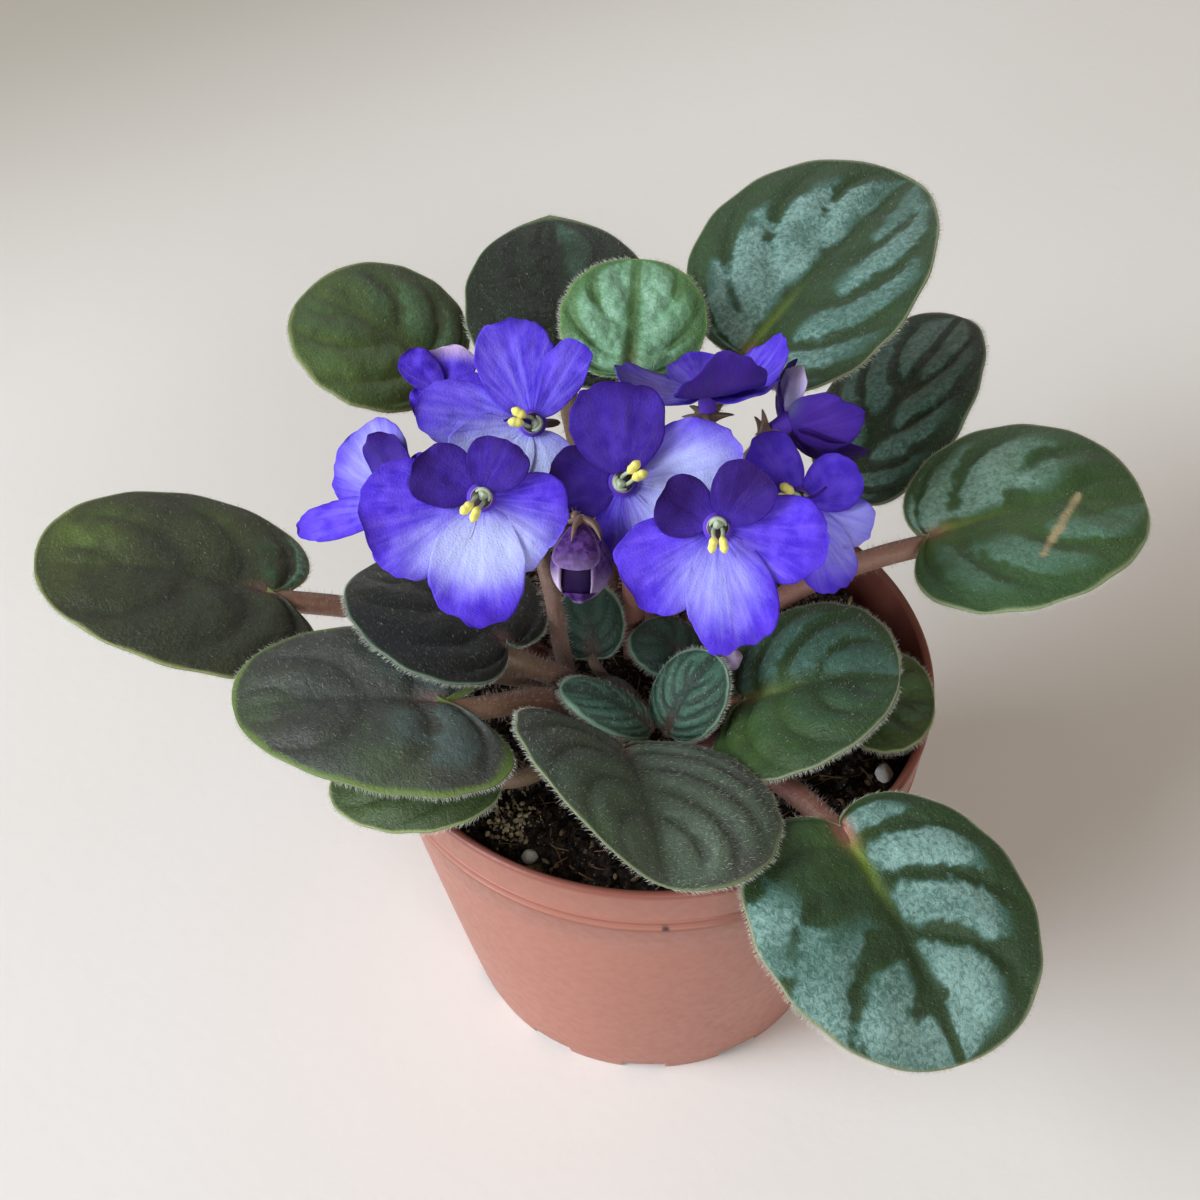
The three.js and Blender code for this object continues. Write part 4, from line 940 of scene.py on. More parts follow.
def build_soil():
    axis = np.linspace(-1, 1, SOIL_GRID)
    u, v = np.meshgrid(axis, axis, indexing="ij")
    x = SOIL_RADIUS * u * np.sqrt(1 - v * v / 2)
    y = SOIL_RADIUS * v * np.sqrt(1 - u * u / 2)
    rim = smoothstep(0.93, 1.0, np.hypot(x, y) / SOIL_RADIUS)
    top = np.stack([x, y, soil_height(x, y) - 0.8 * rim], axis=-1)
    index = np.arange(SOIL_GRID ** 2).reshape(SOIL_GRID, SOIL_GRID)
    tan = smoothstep(0.25, 0.5, noise(top, 1.3, 21)) * smoothstep(0.0, 0.4, noise(top, 9, 5))
    tan = np.clip(tan * (0.4 + nearness(x, y, CLUMP, 30)), 0, 1)
    parts = Parts("tan")
    parts.add(top, [grid_faces(index)[:, ::-1]], tan=tan)
    edge = np.concatenate([index[0, :-1], index[:-1, -1], index[-1, :0:-1], index[:0:-1, 0]])
    rim_points = top.reshape(-1, 3)[edge]
    outward = unit(rim_points[:, :2])
    floor = FOOT_HEIGHT + POT_WALL + 0.3
    rings = [(wall_radius(height) - POT_WALL - 0.5, height) for height in (50, 30, 12, 6)]
    rings += [(wall_radius(5) - POT_WALL - 1.4, floor), (0, floor)]
    rows = [rim_points]
    for radius, height in rings:
        rows.append(np.column_stack([outward * radius, np.full(len(outward), height)]))
    side = np.array(rows)
    side = np.concatenate([side, side[:, :1]], axis=1)
    parts.add(side, [grid_faces(np.arange(side.size // 3).reshape(side.shape[:2]))])
    parts.finish("soil_body", "peat", "soil", "soil")


def on_soil(count, reach=0.97):
    """Random places on the soil's top, clear of the perlite."""
    radius = SOIL_RADIUS * reach * np.sqrt(rng.uniform(0, 1, count))
    turn = rng.uniform(0, 2 * math.pi, count)
    x = radius * np.cos(turn)
    y = radius * np.sin(turn)
    clear = np.ones(count, bool)
    for middle, grain in PERLITE:
        clear &= np.hypot(x - middle[0], y - middle[1]) > grain + 1.2
    return np.stack([x, y, soil_height(x, y)], axis=-1)[clear]


def lump(parts, centre, size, stretch, **fields):
    """A small angular crumb of soil or bark."""
    axis = unit(rng.normal(size=3))
    shape = rng.uniform(0, 50)
    half = axis * size * stretch
    corners = rng.uniform(0.75, 1.25, 9)
    parts.add(*spindle(
        centre - half, centre + half, 6, 8,
        lambda s, a: size * np.sin(math.pi * np.clip(s, 0.02, 0.98)) ** 0.5
        * (0.8 + 0.25 * np.sin(2 * a + shape)) * corners[(a * 8 / 2 / math.pi).astype(int)]),
        **fields)


def scatter_crumbs():
    clods = Parts("tan")
    for centre in on_soil(CLOD_COUNT):
        size = rng.uniform(0.3, 1.2)
        lump(clods, centre + (0, 0, 0.2), size, rng.uniform(0.8, 1.6),
             tan=float(rng.uniform() < 0.25 and size < 0.6) * rng.uniform(0.2, 0.9))
    for _ in range(CLUMP_GRAINS):
        spread = rng.normal(size=3) * (2.0, 1.7, 0.8)
        lump(clods, CLUMP + spread, rng.uniform(0.15, 0.5), rng.uniform(0.8, 1.4),
             tan=float(rng.uniform() < 0.7) * rng.uniform(0.4, 1))
    clods.finish("soil_clods", "peat", "soil", "soil", weld=False, smooth=False)
    chips = Parts()
    for centre in on_soil(CHIP_COUNT):
        lump(chips, centre + (0, 0, 0.4), rng.uniform(0.15, 0.55), rng.uniform(1.0, 2.2))
    chips.finish("bark_chips", "peat", "soil", "bark", weld=False, smooth=False)
    threads = Parts()
    for centre in on_soil(FIBRE_COUNT, reach=0.93):
        heading = unit(rng.normal(size=3) * (1, 1, 0.25))
        length = rng.uniform(2, 7)
        bow = rng.normal(size=3) * (0.8, 0.8, 0.3)
        ends = [centre + (0, 0, 0.3) - heading * length / 2, centre + (0, 0, 0.9) + bow,
                centre + (0, 0, 0.3) + heading * length / 2]
        threads.add(*tube(smooth_line(ends, 8), rng.uniform(0.06, 0.16), 5))
    threads.finish("peat_fibres", "peat", "soil", "fibre", weld=False)


def build_perlite():
    for number, (middle, radius) in enumerate(PERLITE, 1):
        half = np.array([radius, 0, 0])
        vertices, faces, _ = spindle(np.array(middle) - half, np.array(middle) + half, 24, 32,
                                     lambda s, a: radius * np.sin(math.pi * s) ** 0.6)
        uneven = rough_noise(vertices, 1.2, 4, seed=number)
        parts = Parts()
        parts.add(middle + (vertices - middle) * (0.96 + 0.12 * uneven[:, None]), faces)
        parts.finish(f"perlite_grain_{number}", "perlite", f"perlite_{number}", "perlite")


# ---- Leaves ----

class Blade:
    """The shape of one leaf blade, as in the part's solids, with finer relief."""

    def __init__(self, leaf):
        self.leaf = leaf
        self.base = np.array(leaf.base, float)
        along = np.array(leaf.tip, float) - self.base
        self.length = float(np.linalg.norm(along))
        self.along = along / self.length
        flat_side = unit(np.cross(self.along, UP))
        flat_up = np.cross(flat_side, self.along)
        roll = math.radians(leaf.roll)
        self.side = flat_side * math.cos(roll) + flat_up * math.sin(roll)
        self.up = flat_up * math.cos(roll) - flat_side * math.sin(roll)
        self.relief = min(1, leaf.width / 30)

    def flat(self, t, v):
        """Lengthways and across in the blade's own plane, with a slightly wavy margin."""
        leaf = self.leaf
        turn = math.pi * (1 - t)
        notch = 1 - np.exp(-((t / leaf.sinus) ** 2))
        middle = self.length * (1 - leaf.lobe) / 2
        reach = self.length * (1 + leaf.lobe) / 2
        sharp = EDGE_FULLNESS + leaf.point * np.maximum(0, np.cos(turn))
        bulge = np.abs(np.sin(turn)) ** sharp * (1 - leaf.ovate * np.cos(turn))
        edge_along = (middle + reach * np.cos(turn)) * notch
        wave = 1 + 0.008 * np.sin(46 * t + 5 * np.sign(v)) * np.abs(v) ** 6
        edge_across = leaf.width / 2 * bulge * notch * wave
        rib = self.length * t ** MIDRIB_PACE
        out = np.abs(v)
        across = v * edge_across
        sweep = -SIDE_BOW * self.length * out * (1 - out) * np.sin(turn)
        lengthways = rib + (edge_along - rib) * out + sweep + leaf.slant * across
        return lengthways, across

    def phase(self, t, v):
        """Counts the side veins, which sweep forward from the midrib to the margin."""
        return self.leaf.veins * (t - self.leaf.swept * np.abs(v) ** 1.5)

    def point(self, t, v, relief=True):
        """A point of the upper face."""
        leaf = self.leaf
        t = np.asarray(t, float)
        v = np.asarray(v, float)
        lengthways, across = self.flat(t, v)
        out = np.abs(v)
        share = lengthways / self.length
        slope = math.tan(math.radians(leaf.fold))
        height = slope * (np.sqrt(across ** 2 + FOLD_ROUND ** 2) - FOLD_ROUND)
        height = height + leaf.bow * 4 * share * (1 - share)
        height = height - leaf.droop * (2 * np.abs(across) / leaf.width) ** 3
        if relief:
            ridge = np.abs(np.sin(math.pi * self.phase(t, v))) ** 0.9
            ridge = ridge * (1 - smoothstep(0.72, 0.97, t))
            height = height + VEIN_RELIEF * self.relief * 4 * out * (1 - out) * ridge
            groove = np.exp(-(across / 1.1) ** 2) * smoothstep(0, 0.05, t) * (1 - t)
            height = height - 0.6 * self.relief * groove
        place = (self.base + lengthways[..., None] * self.along + across[..., None] * self.side
                 + height[..., None] * self.up)
        if relief:
            crease = rough_noise(place, 4, 3, seed=40) * leaf.crinkle * self.relief
            crease = crease * (1 - out ** 6) * (1 - smoothstep(0.8, 1, t))
            place = place + crease[..., None] * self.up
        return place

    def petiole_line(self, count):
        """The petiole's middle line, out of the soil and over to the blade."""
        leaf = self.leaf
        ring, azimuth = leaf.foot
        foot = np.array([CROWN[0] + ring * math.cos(math.radians(azimuth)),
                         CROWN[1] + ring * math.sin(math.radians(azimuth)),
                         SOIL_LEVEL - FOOT_DEPTH])
        joint = self.base - self.up * (leaf.petiole + 0.2)
        span = np.linalg.norm(joint - foot)
        lower = foot + UP * (joint[2] - foot[2]) * leaf.rise
        upper = joint - self.along * leaf.reach * span
        upper[2] = joint[2] - 0.03 * span
        t = np.linspace(0, 1, count)[:, None]
        return ((1 - t) ** 3 * foot + 3 * (1 - t) ** 2 * t * lower
                + 3 * (1 - t) * t ** 2 * upper + t ** 3 * joint)


def painted_sheen_patches(blade, t, v, points):
    """Painted sheen: silver on the ridges between the side veins, in bands that taper outwards.
    """
    ridge = 0.5 - 0.5 * np.cos(2 * math.pi * blade.phase(t, v))
    ridge = ridge + (1 - ridge) * smoothstep(0.75, 0.92, t)
    ragged = ridge + 0.26 * noise(points, 2.4, 60) + 0.2 * noise(points, 0.9, 62)
    swell = 0.85 + 0.3 * noise(points, 7, 66)
    out = np.abs(v) + 0.06 * noise(points, 2.5, 63)
    broad = 0.06 * noise(points, 6, 64)
    narrow = 0.04 * noise(points, 2, 67)
    total = np.zeros_like(t)
    for half, side in ((blade.leaf.left, -1), (blade.leaf.right, 1)):
        ahead = t - half.lean * np.abs(v) + broad + narrow
        zone = smoothstep(half.start - 0.1, half.start + 0.12, ahead)
        zone = zone * (1 - smoothstep(half.stop - 0.15, half.stop + 0.1, ahead))
        zone = zone * smoothstep(half.inner - 0.05, half.inner + 0.12, out)
        zone = zone * (1 - smoothstep(half.outer - 0.22, half.outer + 0.03, out))
        whole = half.near + (half.far - half.near) * smoothstep(0.25, 0.7, out)
        cut = 0.12 - whole + 0.45 * (1 - zone)
        patch = smoothstep(cut, cut + 0.36, ragged) * zone * swell
        total = total + np.where(v * side > 0, half.strength * patch, 0)
    return total


def blade_fields(blade, t, v, points):
    """Where the veins, midrib, margin, colours and painted sheen are on the upper face."""
    leaf = blade.leaf
    lengthways, across = blade.flat(t, v)
    _, edge = blade.flat(t, np.where(v < 0, -1.0, 1.0))
    inset = np.abs(edge) - np.abs(across)
    out = np.abs(v)
    vein = np.abs(np.cos(math.pi * blade.phase(t, v))) ** 8 * (1 - smoothstep(0.6, 0.95, out))
    vein = vein * (1 - smoothstep(0.72, 0.9, t))
    midrib = np.exp(-(across / 0.8) ** 2) * (1 - smoothstep(0.8, 1, t))
    rib = np.exp(-(across / (1.1 - 0.6 * t)) ** 2) * (1 - smoothstep(0.1, 0.6, t))
    blush = np.exp(-((lengthways - 0.5) / 2.6) ** 2 - (across / 1.3) ** 2)
    margin = 1 - smoothstep(0.05, leaf.rim * (1 + 0.5 * noise(points, 3.2, 64)), inset)
    glow = np.zeros_like(t)
    for along, side, size, strength in leaf.glows:
        middle = blade.flat(np.array(along), np.array(side))
        distance = np.hypot(lengthways - middle[0], across - middle[1])
        glow = np.maximum(glow, strength * np.exp(-(distance / size) ** 2))
    glow = glow * (0.75 + 0.5 * noise(points, 2.5, 65))
    # Painted sheen, kept off the midrib.
    painted_sheen = painted_sheen_patches(blade, t, v, points) * smoothstep(0.5, 1.2, np.abs(across))
    return {"vein": np.maximum(vein, midrib), "rib": rib * leaf.rib,
            "blush": blush * leaf.blush, "edge": margin, "glow": np.clip(glow, 0, 1),
            "painted_sheen": np.clip(painted_sheen, 0, 1), "scar": leaf_scar(leaf, points)}


def leaf_scar(leaf, points):
    """The dry tan line on the right leaf."""
    if leaf.name != "leaf_right":
        return np.zeros(points.shape[:2])
    start, end = SCAR
    place = points[..., :2]
    share = np.clip(((place - start) @ (end - start)) / ((end - start) @ (end - start)), 0, 1)
    nearest = start + share[..., None] * (end - start)
    distance = np.linalg.norm(place - nearest, axis=-1) + 0.4 * noise(points, 1.5, 70)
    return 1 - smoothstep(0.35, 0.9, distance)


def scattered(blade, per_mm2):
    """Random places spread evenly over the upper face: t and v."""
    area = 0.7 * blade.length * blade.leaf.width
    count = int(area * per_mm2)
    t = rng.uniform(0.01, 0.99, 3 * count)
    v = rng.uniform(-0.97, 0.97, 3 * count)
    step = 0.004
    du = blade.point(t + step, v, relief=False) - blade.point(t - step, v, relief=False)
    dv = blade.point(t, v + step, relief=False) - blade.point(t, v - step, relief=False)
    weight = np.linalg.norm(np.cross(du, dv), axis=-1)
    keep = rng.uniform(0, weight.max(), len(t)) < weight
    return t[keep][:count], v[keep][:count]


def blade_hairs(blade, parts):
    """Short hairs over the upper face and a fringe along the margin."""
    woolly = blade.leaf.hair
    t, v = scattered(blade, HAIRS_PER_MM2 * woolly)
    roots = blade.point(t, v)
    aims = (blade.up + 0.7 * blade.along + 0.35 * np.sign(v)[:, None] * blade.side
            + rng.normal(size=roots.shape) * 0.25)
    lengths = rng.uniform(0.3, 0.65, len(t)) * (0.8 + 0.2 * woolly)
    short = hairs(roots, aims, lengths, HAIR_RADIUS)
    white = np.repeat(rng.uniform(0, 1, len(t)) < 0.05 * woolly ** 1.5, 7)
    parts.add(*short, white=white)
    count = int(FRINGE_PER_MM * (blade.length + blade.leaf.width))
    t = np.linspace(0.015, 0.985, count) + rng.normal(size=count) * 0.003
    for side in (-1, 1):
        roots = blade.point(t, np.full(count, 0.995 * side)) - blade.up * 0.3
        outward = unit(blade.point(t, np.full(count, 1.0 * side), relief=False)
                       - blade.point(t, np.full(count, 0.9 * side), relief=False))
        aims = outward + blade.up * rng.uniform(-0.5, 0.5, (count, 1))
        aims = aims + rng.normal(size=roots.shape) * 0.2
        parts.add(*hairs(roots, aims, rng.uniform(0.5, 1.15, count), FRINGE_RADIUS), white=0.8)


def stem_hairs(parts, line, radius, per_mm, skip=0.15):
    """Hairs that stand off a round stem."""
    length = np.linalg.norm(np.diff(line, axis=0), axis=1).sum()
    count = int(length * per_mm)
    tangents, across, up = frames_along(line)
    share = rng.uniform(skip, 1, count) * (len(line) - 1)
    below = np.minimum(share.astype(int), len(line) - 2)
    part = (share - below)[:, None]
    centre = line[below] * (1 - part) + line[below + 1] * part
    turn = rng.uniform(0, 2 * math.pi, (count, 1))
    outward = across[below] * np.cos(turn) + up[below] * np.sin(turn)
    roots = centre + outward * radius * 0.97
    aims = outward + tangents[below] * 0.3 + rng.normal(size=roots.shape) * 0.2
    parts.add(*hairs(roots, aims, rng.uniform(0.6, 1.3, count), STEM_HAIR_RADIUS))


def build_leaf(leaf):
    blade = Blade(leaf)
    rows, columns = LARGE_GRID if leaf.width > LARGE_WIDTH else YOUNG_GRID
    t, u = sheet_grid(rows, columns + 1)
    v = np.sign(u) * (1 - (1 - np.abs(u)) ** 1.3)
    upper = blade.point(t, v)
    fields = blade_fields(blade, t, v, upper)
    plump = 0.35 + 0.65 * np.sqrt(1 - np.abs(v) ** 6)
    veins_below = 0.25 * fields["vein"] + 0.5 * fields["rib"]
    thickness = BLADE_THICKNESS * plump * (0.35 + 0.65 * np.sin(math.pi * t) ** 0.3)
    lower = upper - (thickness + veins_below)[..., None] * blade.up
    parts = Parts(*fields, "under", "far")
    parts.add_sheet(upper, lower, under=0.85, **fields)
    line = blade.petiole_line(44)
    midrib = [blade.point(at, 0.0) - blade.up * (leaf.petiole * share + MIDRIB_DEPTH)
              for at, share in MIDRIB]
    shares = np.array([share for _, share in MIDRIB])
    radii = np.concatenate([np.full(len(line), leaf.petiole), leaf.petiole * shares])
    parts.add(*tube(np.concatenate([line, midrib]), radii, 16), slot=1)
    name, stem = leaf.name, leaf.name + "_stem"
    tones = LOOKS[leaf.look]
    MATERIALS[name] = leaf_material(name, tones)
    MATERIALS[stem] = petiole_material(name, leaf.stem or tones["petiole"])
    slot = "young_leaf" if name.startswith("young") else "leaf"
    parts.finish(name + "_blade", slot, name, name, stem)
    fuzz = Parts("far", "white")
    blade_hairs(blade, fuzz)
    fuzz.finish(name + "_hairs", slot, name, "hair", weld=False)
    stem_fuzz = Parts("far")
    stem_hairs(stem_fuzz, line, leaf.petiole, 9 * leaf.petiole)
    stem_fuzz.finish(stem + "_hairs", slot, name, "stem_hair", weld=False)


# ---- Flowers ----

class Bloom:
    """The frame of a flower: its centre, the way it faces, up and right, and its back end."""

    def __init__(self, flower):
        self.centre = np.array(flower.centre, float)
        azimuth, elevation = (math.radians(angle) for angle in flower.facing)
        self.facing = np.array([math.cos(elevation) * math.cos(azimuth),
                                math.cos(elevation) * math.sin(azimuth), math.sin(elevation)])
        self.up = unit(UP - self.facing * self.facing[2])
        self.right = np.cross(self.up, self.facing)
        self.back = self.point(0.0, 0.0, -TUBE_LENGTH)

    def point(self, along, across, height, turn=0):
        angle = math.radians(turn)
        right = along * math.sin(angle) + across * math.cos(angle)
        up = along * math.cos(angle) - across * math.sin(angle)
        parts = [np.asarray(value)[..., None] * axis for value, axis in
                 ((right, self.right), (up, self.up), (height, self.facing))]
        return self.centre + parts[0] + parts[1] + parts[2]


PETAL_FIELDS = ("pale", "dark", "edge", "blush", "reach", "fan_x", "fan_y", "key", "under")


def pale_patch(flower, right, up):
    """The strength of the flower's pale patch at a place in its face."""
    turn, distance, half_length, half_width, strength = flower.pale
    angle = math.radians(turn)
    x = right - distance * math.sin(angle)
    y = up - distance * math.cos(angle)
    lengthways = (x * math.sin(angle) + y * math.cos(angle)) / half_length
    across = (x * math.cos(angle) - y * math.sin(angle)) / half_width
    return strength * np.exp(-(lengthways ** 2 + across ** 2) ** 1.4)


def add_petal(parts, bloom, flower, number):
    turn, length, width, rise, layer = flower.petals[number]
    is_upper = number < 2
    t, v = sheet_grid(*PETAL_GRID)
    angle = math.pi * (1 - t)
    outline = (length + PETAL_START) / 2 + (length - PETAL_START) / 2 * np.cos(angle)
    rib = PETAL_START + (length - PETAL_START) * t
    along = rib + (outline - rib) * np.abs(v)
    across = v * width / 2 * np.abs(np.sin(angle)) ** 0.85 * (1 + 0.15 * np.cos(angle))
    seed = flower.centre[0] * 3.1 + turn
    key = np.stack([along, across, np.full_like(t, seed)], axis=-1)
    outer = np.maximum(np.abs(v), smoothstep(0.75, 1, t)) ** 4
    frill = 1 + outer * (0.045 * noise(key, 2.8, 80) + 0.02 * noise(key, 1.0, 82))
    along = along * frill
    across = across * frill
    share = along / length
    radius = np.hypot(along, across)
    tilt = math.radians(turn)
    right = along * math.sin(tilt) + across * math.cos(tilt)
    up = along * math.cos(tilt) - across * math.sin(tilt)
    pleats = np.sin(11 * np.arctan2(across, along + 3) + seed) * share ** 1.5
    saucer = PETAL_CUP * radius + rise * share ** 3
    ripple = PETAL_RIPPLE * v * v * share * share * np.cos(6 * math.pi * t)
    crinkle = 0.5 * noise(key, 4.5, 81) * share ** 2 + 0.1 * noise(key, 1.3, 83)
    crease = -0.12 * np.exp(-(across / 0.7) ** 2) * share * (1 - share) * 4
    step = PETAL_LAYER * layer * (1 if is_upper else smoothstep(0.2, 0.65, share))
    height = saucer + ripple + crinkle + crease + flower.folds[number] * pleats + step
    thin = PETAL_THICKNESS * (0.35 + 0.65 * np.sqrt(1 - np.abs(v) ** 4))
    upper = bloom.point(along, across, height, turn)
    lower = bloom.point(along, across, height - thin, turn)
    shade = flower.shades[number]
    # throat darkens the petals near the tube: partly the upper petals' own dark base, partly
    # painted shade where the petals fold into the tube.
    throat = 1 - smoothstep(1.2, 3.0, radius)
    fade = 0.85 + 0.2 * share ** 2 + 0.25 * noise(key, 6, 84)
    dark = np.maximum(shade * fade, (0.8 if is_upper else 0.35) * throat)
    pale = pale_patch(flower, right, up) * (0.1 if is_upper and shade else 1.0)
    # flower.light is painted light: it makes the whole flower paler where it stands in brighter
    # light.
    pale = pale * (1 - 0.5 * throat) + flower.light
    # A pinkish white towards one petal's tip; on flower_back_right it is a painted highlight.
    pink_one, pink_start, pink = flower.pink
    blush = pink * smoothstep(pink_start, 1.0, share) * (number == pink_one)
    edge = smoothstep(0.75, 1.0, np.maximum(np.abs(v), share))
    parts.add_sheet(upper, lower, under=0.9, pale=pale, dark=dark, blush=blush, reach=radius,
                    edge=edge * (0.75 - 0.75 * np.clip(pale, 0, 1)), fan_x=right / radius,
                    fan_y=up / radius, key=flower.centre[0] + (5.0 + number) * is_upper)


def add_throat(parts, bloom, flower):
    """The tube behind the petals, a pale hood behind a slit painted as shade, and the style."""
    aim = flower.pollen
    vertices, faces, _ = spindle(bloom.back, bloom.point(0.0, 0.0, 1.0), 16, 24,
                                 lambda s, a: TUBE_RADIUS * (TUBE_NECK + 0.45 * s ** 2)
                                 * np.where((s > 0) & (s < 1), 1, 0))
    parts.add(vertices, faces, under=0.9, dark=0.3)
    collar = [bloom.point(1.3 * math.cos(a), 1.3 * math.sin(a), 1.0, aim)
              for a in np.linspace(0, 2 * math.pi, 33)]
    parts.add(*tube(collar, 0.3, 10), slot=1)
    # A near-black lens in the tube's mouth: painted shade.
    parts.add(*spindle(bloom.point(0.1, 0.0, 0.9, aim), bloom.point(0.1, 0.0, 1.7, aim), 8, 24,
                       lambda s, a: 1.5 * np.sqrt(np.abs(np.sin(math.pi * s)))), slot=2)
    parts.add(*spindle(bloom.point(-0.5, 0.0, 0.8, aim), bloom.point(-0.5, 0.0, 2.7, aim), 14,
                       24, lambda s, a: THROAT_RADIUS * (1 + 0.12 * np.cos(3 * a))
                       * np.abs(np.sin(math.pi * s)) ** 0.6), slot=1)
    hood = [bloom.point(1.15 * math.cos(a), 1.15 * math.sin(a), 1.6 - 0.4 * math.cos(a), aim)
            for a in np.radians(np.linspace(100, 260, 25))]
    parts.add(*tube(hood, 0.1 + 0.3 * np.sin(np.linspace(0.2, 2.94, 25)), 12), slot=1)
    if flower.style is not None:
        route = [bloom.point(*place, flower.style)
                 for place in ((0.4, 0.0, 1.6), (2.4, 0.3, 3.4), (4.4, -0.3, 3.9))]
        parts.add(*tube(smooth_line(route, 14), np.linspace(0.3, 0.2, 14), 8), dark=0.9)


def add_anthers(parts, bloom, aim):
    """Two yellow pollen sacs, each of two fused lobes, on their short pale stalks."""
    for side in (-1, 1):
        parts.add(*spindle(
            bloom.point(SAC_START, side * 0.5, ANTHER_HEIGHT - 0.5, aim),
            bloom.point(SAC_END, side * 1.0, ANTHER_HEIGHT - 0.2, aim), 20, 24,
            lambda s, a: SAC_RADIUS * np.abs(np.sin(math.pi * s)) ** 0.6
            * (1 - 0.2 * np.exp(-((s - 0.5) / 0.16) ** 2)) * (1 - 0.12 * np.cos(2 * a))))
        line = [bloom.point(0.2, side * 0.6, 1.6, aim), bloom.point(0.7, side * 0.7, 2.8, aim),
                bloom.point(1.6, side * 0.6, ANTHER_HEIGHT - 0.5, aim)]
        parts.add(*tube(smooth_line(line, 10), 0.3, 8), slot=1)


def build_flower(flower):
    bloom = Bloom(flower)
    parts = Parts(*PETAL_FIELDS)
    for number in range(len(flower.petals)):
        add_petal(parts, bloom, flower, number)
    add_throat(parts, bloom, flower)
    parts.finish(flower.name + "_corolla", "petal", flower.name, "petal", "throat", "slit")
    if not flower.closed:
        sacs = Parts()
        add_anthers(sacs, bloom, flower.pollen)
        anthers = flower.name.replace("flower", "anthers")
        sacs.finish(anthers + "_sacs", "pollen", anthers, "pollen", "throat")


def calyx_radius(share, turn):
    """Narrow at the neck of the calyx, with a pointed sepal at each of SEPAL_COUNT turns."""
    sepals = (0.5 + 0.5 * np.cos(SEPAL_COUNT * turn)) ** 1.6
    radius = CALYX_NECK + CALYX_FLARE * share + SEPAL_SPREAD * share ** 2 * sepals
    return np.where((share > 0) & (share < 1), radius, 0)


def add_pedicel(parts, fuzz, points):
    """The hairy stem of one flower or bud."""
    line = smooth_line(points, 28)
    parts.add(*tube(line, np.linspace(*PEDICEL_RADII, 28), 12))
    stem_hairs(fuzz, line, 0.85, 12)


def build_stalk(name, route, carried, bud_pedicel):
    by_name = {flower.name: flower for flower in FLOWERS}
    parts = Parts()
    fuzz = Parts("far")
    trunk = smooth_line(route, 50)
    parts.add(*tube(trunk, np.linspace(*STALK_RADII, 50), 16))
    stem_hairs(fuzz, trunk, 1.4, 16)
    fork = np.array(route[-1], float)
    lower = fork - UP * FORK_DEPTH
    for flower in carried:
        bloom = Bloom(by_name[flower])
        below = bloom.back - bloom.facing
        bend = fork + (below - fork) * 0.55 - bloom.facing * PEDICEL_BOW
        add_pedicel(parts, fuzz, [lower, bend, below])
        parts.add(*spindle(bloom.back - bloom.facing * CALYX_LENGTH,
                           bloom.back - bloom.facing * 0.3, 18, 60, calyx_radius), slot=1)
    if bud_pedicel:
        add_pedicel(parts, fuzz, [lower, *bud_pedicel])
    parts.finish(name + "_stems", "stalk", name, "stalk", "sepal")
    fuzz.finish(name + "_hairs", "stalk", name, "stem_hair", weld=False)


def egg_radius(bud, share, turn):
    folded = 1 + BUD_FOLD * share * np.cos(5 * turn)
    return bud.radius * np.abs(np.sin(math.pi * share ** 1.1)) ** 0.6 * folded


def add_bud_petal(parts, turn, spread, start, stop, size, white):
    """One folded petal of the nodding bud."""
    neck, tip, _ = NODDING_BUD
    axis = tip - neck
    forward = unit(axis)
    across = unit(np.cross(UP, forward))
    up = np.cross(forward, across)
    s, w = sheet_grid(30, 25, start, stop)
    part = (s - start) / (stop - start)
    rounding = np.sqrt(1 - 0.98 * part ** 5)
    a = math.radians(turn) + w * math.radians(spread) * rounding
    radius = (egg_radius(NODDING_BUD, np.minimum(s, 0.97), a) * size)[..., None]
    spoke = across * np.cos(a)[..., None] + up * np.sin(a)[..., None]
    middle = neck + axis * s[..., None]
    blush = white * smoothstep(0.5, 1.0, part) + 0.15 * smoothstep(0.8, 1.0, np.abs(w))
    parts.add_sheet(middle + spoke * radius, middle + spoke * 0.9 * radius, blush=blush)


def build_nodding_bud():
    """A half-open bud: an inside painted near-black as shade, folded petals round it and sepals
    at its neck.
    """
    parts = Parts("blush", "dark")
    neck, tip, _ = NODDING_BUD
    vertices, faces, share = spindle(neck, tip, 40, 60,
                                     lambda s, a: 0.8 * egg_radius(NODDING_BUD, s, a))
    # The inner body, painted near-black as the shade inside the bud.
    parts.add(vertices, faces, dark=smoothstep(0.2, 0.5, share))
    for petal in BUD_PETALS:
        add_bud_petal(parts, *petal)
    axis = unit(tip - neck)
    across = unit(np.cross(axis, UP))
    up = np.cross(across, axis)
    for k in range(SEPAL_COUNT):
        turn = 2 * math.pi * k / SEPAL_COUNT
        outward = across * math.cos(turn) + up * math.sin(turn)
        line = smooth_line([neck - axis * 0.3, neck + outward * 2.4 + axis * 0.5,
                            neck + outward * 3.8 + axis * 2.6], 12)
        parts.add(*tube(line, 0.7 * np.linspace(1, 0.02, 12) ** 0.7, 8), slot=1)
    parts.finish("bud_nodding_petals", "bud", "bud_nodding", "bud", "sepal")


def build_small_bud():
    parts = Parts("blush", "dark")
    neck, tip, _ = SMALL_BUD
    vertices, faces, share = spindle(neck, tip, 30, 40,
                                     lambda s, a: egg_radius(SMALL_BUD, s, a))
    parts.add(vertices, faces, blush=0.25 + 0.4 * share)
    bend = SMALL_BUD_FOOT + (neck - SMALL_BUD_FOOT) * 0.6 + (-0.6, 0.4, 0)
    line = smooth_line([SMALL_BUD_FOOT, bend, neck + (tip - neck) * 0.2], 24)
    parts.add(*tube(line, np.linspace(*BUD_STEM_RADII, 24), 12), slot=1)
    parts.finish("bud_small_petals", "bud", "bud_small", "bud", "stalk")


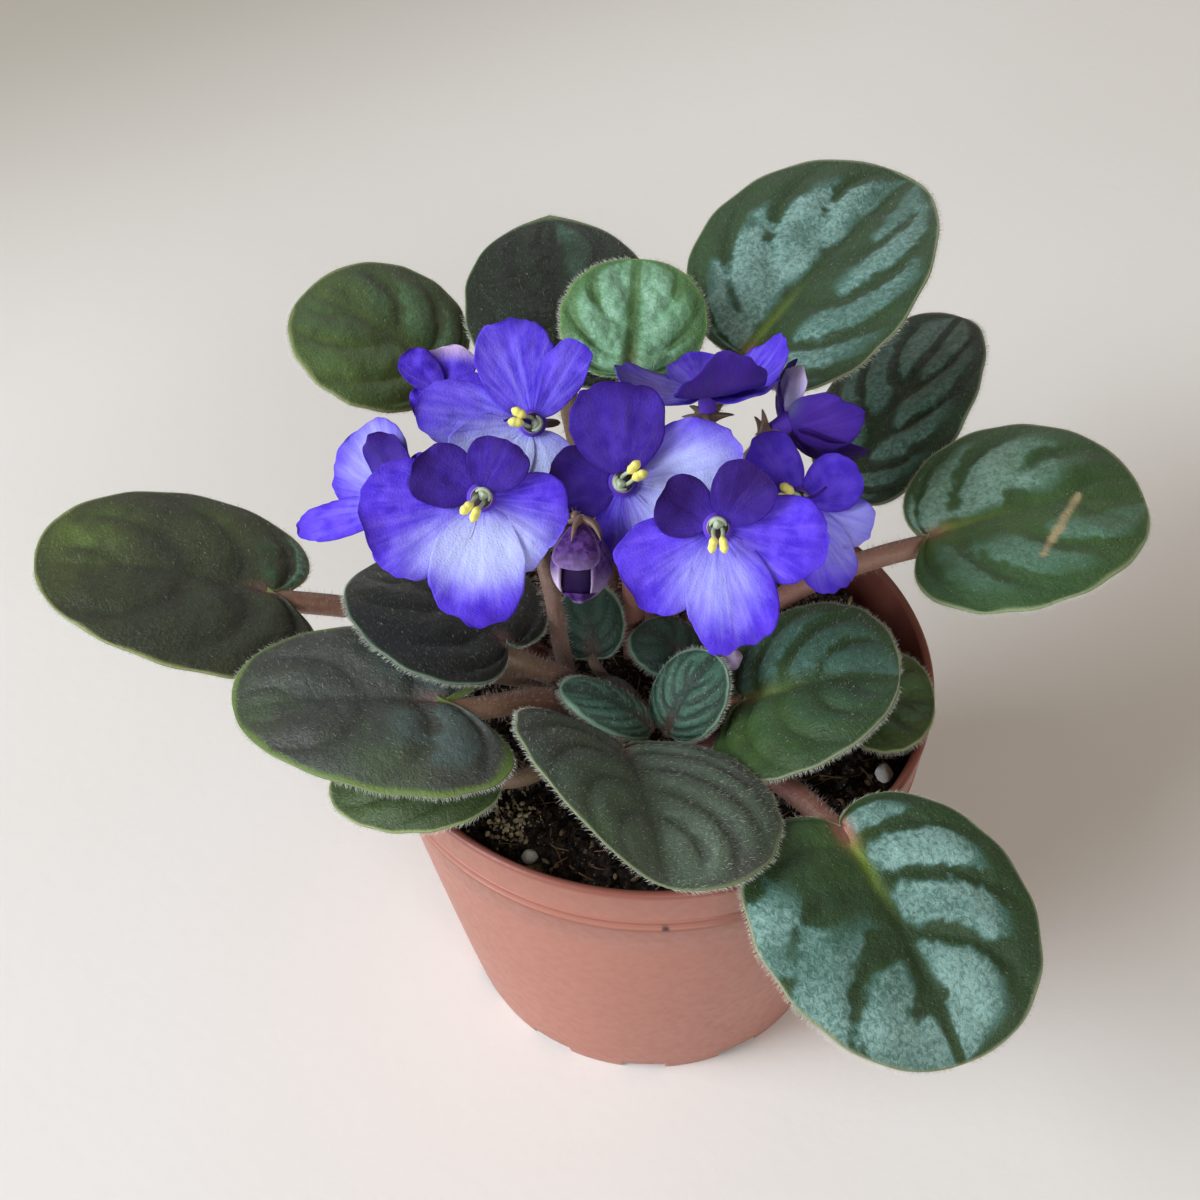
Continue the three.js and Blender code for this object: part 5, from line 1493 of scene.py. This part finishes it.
def build_fallen_petal():
    blade = Blade(FALLEN_PETAL)
    t, v = sheet_grid(30, 21)
    upper = blade.point(t, v, relief=False)
    parts = Parts(*PETAL_FIELDS)
    parts.add_sheet(upper, upper - blade.up * PETAL_THICKNESS, fan_x=v * 0.4, dark=0.3)
    parts.finish("fallen_petal_sheet", "petal", "fallen_petal", "petal")


# ---- Stage, light and camera ----

def build_floor():
    size = 3000
    corners = np.array([(-size, -size, 0), (size, -size, 0), (size, size, 0), (-size, size, 0)])
    parts = Parts()
    parts.add(corners, [np.array([[0, 1, 2, 3]])])
    shader = Shader("pale_floor", Roughness=0.75, Specular_IOR_Level=0.25)
    shader.start(shader.noise(120, detail=4), 0xF2F0EC, 0xECE9E3)
    # Painted shade: the floor darkens towards the back left, where less light falls.
    away = shader.slope((-0.6, 0.8, 0))
    shader.over(shader.span(away, 200, 420), 0xBDB8AC)
    shader.bump(shader.noise(3, detail=5), 0.05)
    parts.build("floor", [shader.finish()])


def area_light(name, toward, distance, size, power, tone, glossy_only=False):
    """A round lamp in a direction from the middle of the plant, facing it."""
    middle = Vector((0, 10, 60))
    light = bpy.data.lights.new(name, "AREA")
    light.shape = "DISK"
    light.size = size * MM
    light.energy = power
    light.color = colour(tone)[:3]
    lamp = bpy.data.objects.new(name, light)
    aim = Vector(toward).normalized()
    lamp.location = (middle + aim * distance) * MM
    lamp.rotation_euler = (-aim).to_track_quat("-Z", "Y").to_euler()
    lamp.visible_diffuse = not glossy_only
    bpy.context.scene.collection.objects.link(lamp)


def build_lights():
    """Windows high and low on the left, light from the front, and a warm room round them."""
    area_light("high_window", (-1.2, -0.4, 1), 1700, 960, 17.5, 0xEEF6FF)
    area_light("low_window", (-2.8, -1.2, 1), 2500, 1500, 53, 0xEEF6FF)
    area_light("front", (0.6, -1.8, 1), 2000, 1080, 14.5, 0xF2F8FF)
    area_light("sheen", (0.1, 1.0, 0.8), 1100, 900, 2.4, 0xEAF4FF, glossy_only=True)
    world = bpy.data.worlds.new("room")
    world.use_nodes = True
    sky = world.node_tree.nodes["Background"]
    sky.inputs["Color"].default_value = colour(0xFFE2C2)
    sky.inputs["Strength"].default_value = 0.235
    bpy.context.scene.world = world


def build_camera():
    elevation = math.radians(CAMERA_ELEVATION)
    back = Vector((0, -math.cos(elevation), math.sin(elevation)))
    place = (Vector(CAMERA_TARGET) + back * CAMERA_DISTANCE) * MM
    camera = bpy.data.cameras.new("camera")
    camera.lens = CAMERA_LENS
    camera.sensor_width = CAMERA_SENSOR
    camera.clip_start = 0.01
    view = bpy.data.objects.new("camera", camera)
    turn = Matrix.Rotation(math.pi / 2 - elevation, 4, "X")
    roll = Matrix.Rotation(math.radians(CAMERA_ROLL), 4, "Z")
    view.matrix_world = Matrix.Translation(place) @ turn @ roll
    bpy.context.scene.collection.objects.link(view)
    bpy.context.scene.camera = view


build_pot()
build_soil()
scatter_crumbs()
build_perlite()
for one in LEAVES:
    build_leaf(one)
for one in FLOWERS:
    build_flower(one)
for one in STALKS:
    build_stalk(*one)
build_nodding_bud()
build_small_bud()
build_fallen_petal()
build_floor()
build_lights()
build_camera()
bpy.context.scene.view_settings.view_transform = "Standard"
